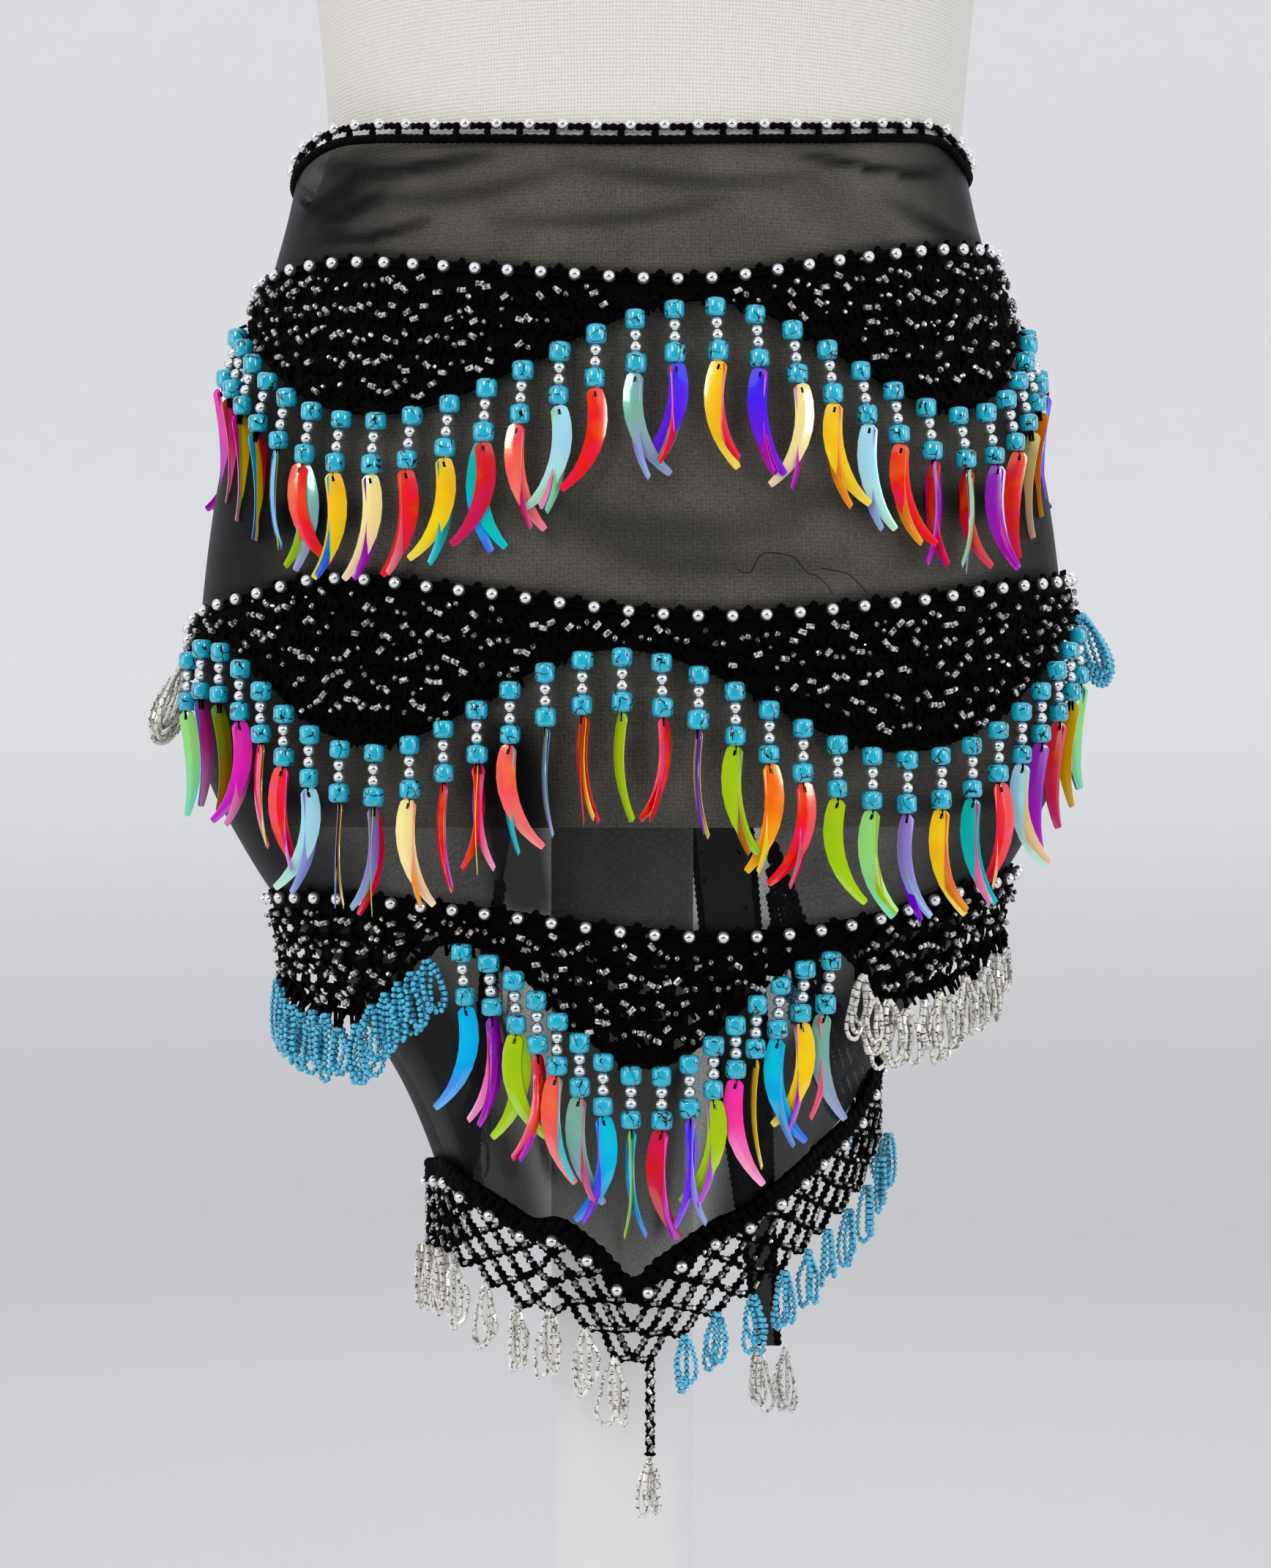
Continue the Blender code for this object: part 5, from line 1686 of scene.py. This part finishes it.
def colour_prop(name, description, default):
    return bpy.props.FloatVectorProperty(name=name, description=description, size=3, min=0.0,
                                         max=1.0, subtype='COLOR', default=linear(default))


class HipBeltSizes(bpy.types.PropertyGroup):
    """Sizes of the belt's beads, sequins and yarn."""
    turquoise_width: length_prop("Turquoise width", "Width of a turquoise bead", 0.0079)
    turquoise_height: length_prop("Turquoise height", "Height of a turquoise bead", 0.0071)
    silver_width: length_prop("Silver bead", "Width of a silver bead", 0.0048)
    seed_width: length_prop("Seed bead", "Width of a glass seed bead", 0.0023)
    bugle_length: length_prop("Bugle bead", "Length of a cut glass tube", 0.0031)
    sequin_length: length_prop("Sequin length", "Length of a horn sequin along its curve", 0.042)
    sequin_width: length_prop("Sequin width", "Greatest width of a horn sequin", 0.0073)
    yarn_width: length_prop("Yarn", "Thickness of the crochet yarn", 0.0022)


class HipBeltColours(bpy.types.PropertyGroup):
    """Colours of the belt, the dress form and the backdrop."""
    linen: colour_prop("Linen", "Cover of the dress form", "#e3dfd6")
    paint: colour_prop("Paint", "Post and base of the dress form", "#e4e3e2")
    chiffon: colour_prop("Chiffon", "Dye of the chiffon", "#0b0d0f")
    yarn: colour_prop("Yarn", "Dye of the crochet yarn", "#040405")
    turquoise: colour_prop("Turquoise", "Dyed stone of the large beads", "#18b0cd")
    veins: colour_prop("Veins", "Cracks in the large beads", "#06181d")
    silver: colour_prop("Silver", "Plating of the small beads", "#ededee")
    clear_glass: colour_prop("Clear glass", "Silver-lined and clear beads", "#f2efe8")
    aqua_glass: colour_prop("Aqua glass", "Blue bead loops", "#44c6ee")
    backdrop: colour_prop("Backdrop", "Studio paper", "#f5f6f8")
    film_thickness: bpy.props.FloatProperty(
        name="Pearl coat", description="Thickness of the sequins' pearl coat, in nanometres",
        default=380.0, min=0.0, max=1000.0)


class HIPBELT_OT_stage(bpy.types.Operator):
    """Pale paper sweep, soft studio light and the camera"""
    bl_idname = "hip_belt.stage"
    bl_label = "Studio stage"

    def execute(self, context):
        build_stage()
        return {'FINISHED'}


class HIPBELT_OT_dress_form(bpy.types.Operator):
    """Linen-covered torso on a painted post and base"""
    bl_idname = "hip_belt.dress_form"
    bl_label = "Dress form"

    def execute(self, context):
        build_form()
        return {'FINISHED'}


class HIPBELT_OT_chiffon(bpy.types.Operator):
    """Triangle of black crinkle chiffon wrapped round the hips, and its tied corners"""
    bl_idname = "hip_belt.chiffon"
    bl_label = "Chiffon wrap and knot"

    def execute(self, context):
        cloth = build_chiffon()
        knot = build_knot()
        return {'FINISHED'}


class HIPBELT_OT_waist_edging(bpy.types.Operator):
    """Rolled edge and beaded ladder along the top of the chiffon"""
    bl_idname = "hip_belt.waist_edging"
    bl_label = "Waist edging"

    def execute(self, context):
        build_waist_edging()
        return {'FINISHED'}


class HIPBELT_OT_lace_bands(bpy.types.Operator):
    """Three crochet bands with glass beads and a line of silver beads"""
    bl_idname = "hip_belt.lace_bands"
    bl_label = "Lace bands"

    def execute(self, context):
        for band in BANDS:
            build_lace_band(band)
        return {'FINISHED'}


class HIPBELT_OT_dangles(bpy.types.Operator):
    """Turquoise and silver beads with horn sequins, under each band"""
    bl_idname = "hip_belt.dangles"
    bl_label = "Dangles"

    def execute(self, context):
        for band in BANDS:
            build_dangles(band)
        return {'FINISHED'}


class HIPBELT_OT_end_loops(bpy.types.Operator):
    """Bunches of bead loops at the free ends of the lower bands"""
    bl_idname = "hip_belt.end_loops"
    bl_label = "End loops"

    def execute(self, context):
        build_end_loops()
        return {'FINISHED'}


class HIPBELT_OT_hem_net(bpy.types.Operator):
    """Crochet edge and diamond net along the hem, with its bead loops"""
    bl_idname = "hip_belt.hem_net"
    bl_label = "Hem net"

    def execute(self, context):
        for side in (-1, 1):
            build_hem_net(side)
            build_hem_loops(side)
        return {'FINISHED'}


class HIPBELT_OT_tails(bpy.types.Operator):
    """Pleated ends that hang behind from the knot"""
    bl_idname = "hip_belt.tails"
    bl_label = "Tails"

    def execute(self, context):
        build_tails()
        return {'FINISHED'}


class HIPBELT_PT_panel(bpy.types.Panel):
    """Makes the belt piece by piece"""
    bl_label = "Hip Belt"
    bl_idname = "HIPBELT_PT_panel"
    bl_space_type = 'VIEW_3D'
    bl_region_type = 'UI'
    bl_category = "Hip Belt"

    def draw(self, context):
        for group in (context.scene.hip_belt_sizes, context.scene.hip_belt_colours):
            for name in group.__annotations__:
                self.layout.prop(group, name)
        for operator in OPERATORS:
            self.layout.operator(operator.bl_idname)


OPERATORS = (HIPBELT_OT_stage, HIPBELT_OT_dress_form, HIPBELT_OT_chiffon,
             HIPBELT_OT_waist_edging, HIPBELT_OT_lace_bands, HIPBELT_OT_dangles,
             HIPBELT_OT_end_loops, HIPBELT_OT_hem_net, HIPBELT_OT_tails)
CLASSES = (HipBeltSizes, HipBeltColours) + OPERATORS + (HIPBELT_PT_panel,)


def register():
    for each in CLASSES:
        bpy.utils.register_class(each)
    bpy.types.Scene.hip_belt_sizes = bpy.props.PointerProperty(type=HipBeltSizes)
    bpy.types.Scene.hip_belt_colours = bpy.props.PointerProperty(type=HipBeltColours)


def unregister():
    del bpy.types.Scene.hip_belt_sizes
    del bpy.types.Scene.hip_belt_colours
    for each in reversed(CLASSES):
        bpy.utils.unregister_class(each)


def main():
    register()
    for operator in OPERATORS:
        getattr(bpy.ops.hip_belt, operator.bl_idname.split(".")[1])()


if __name__ == "__main__":
    main()
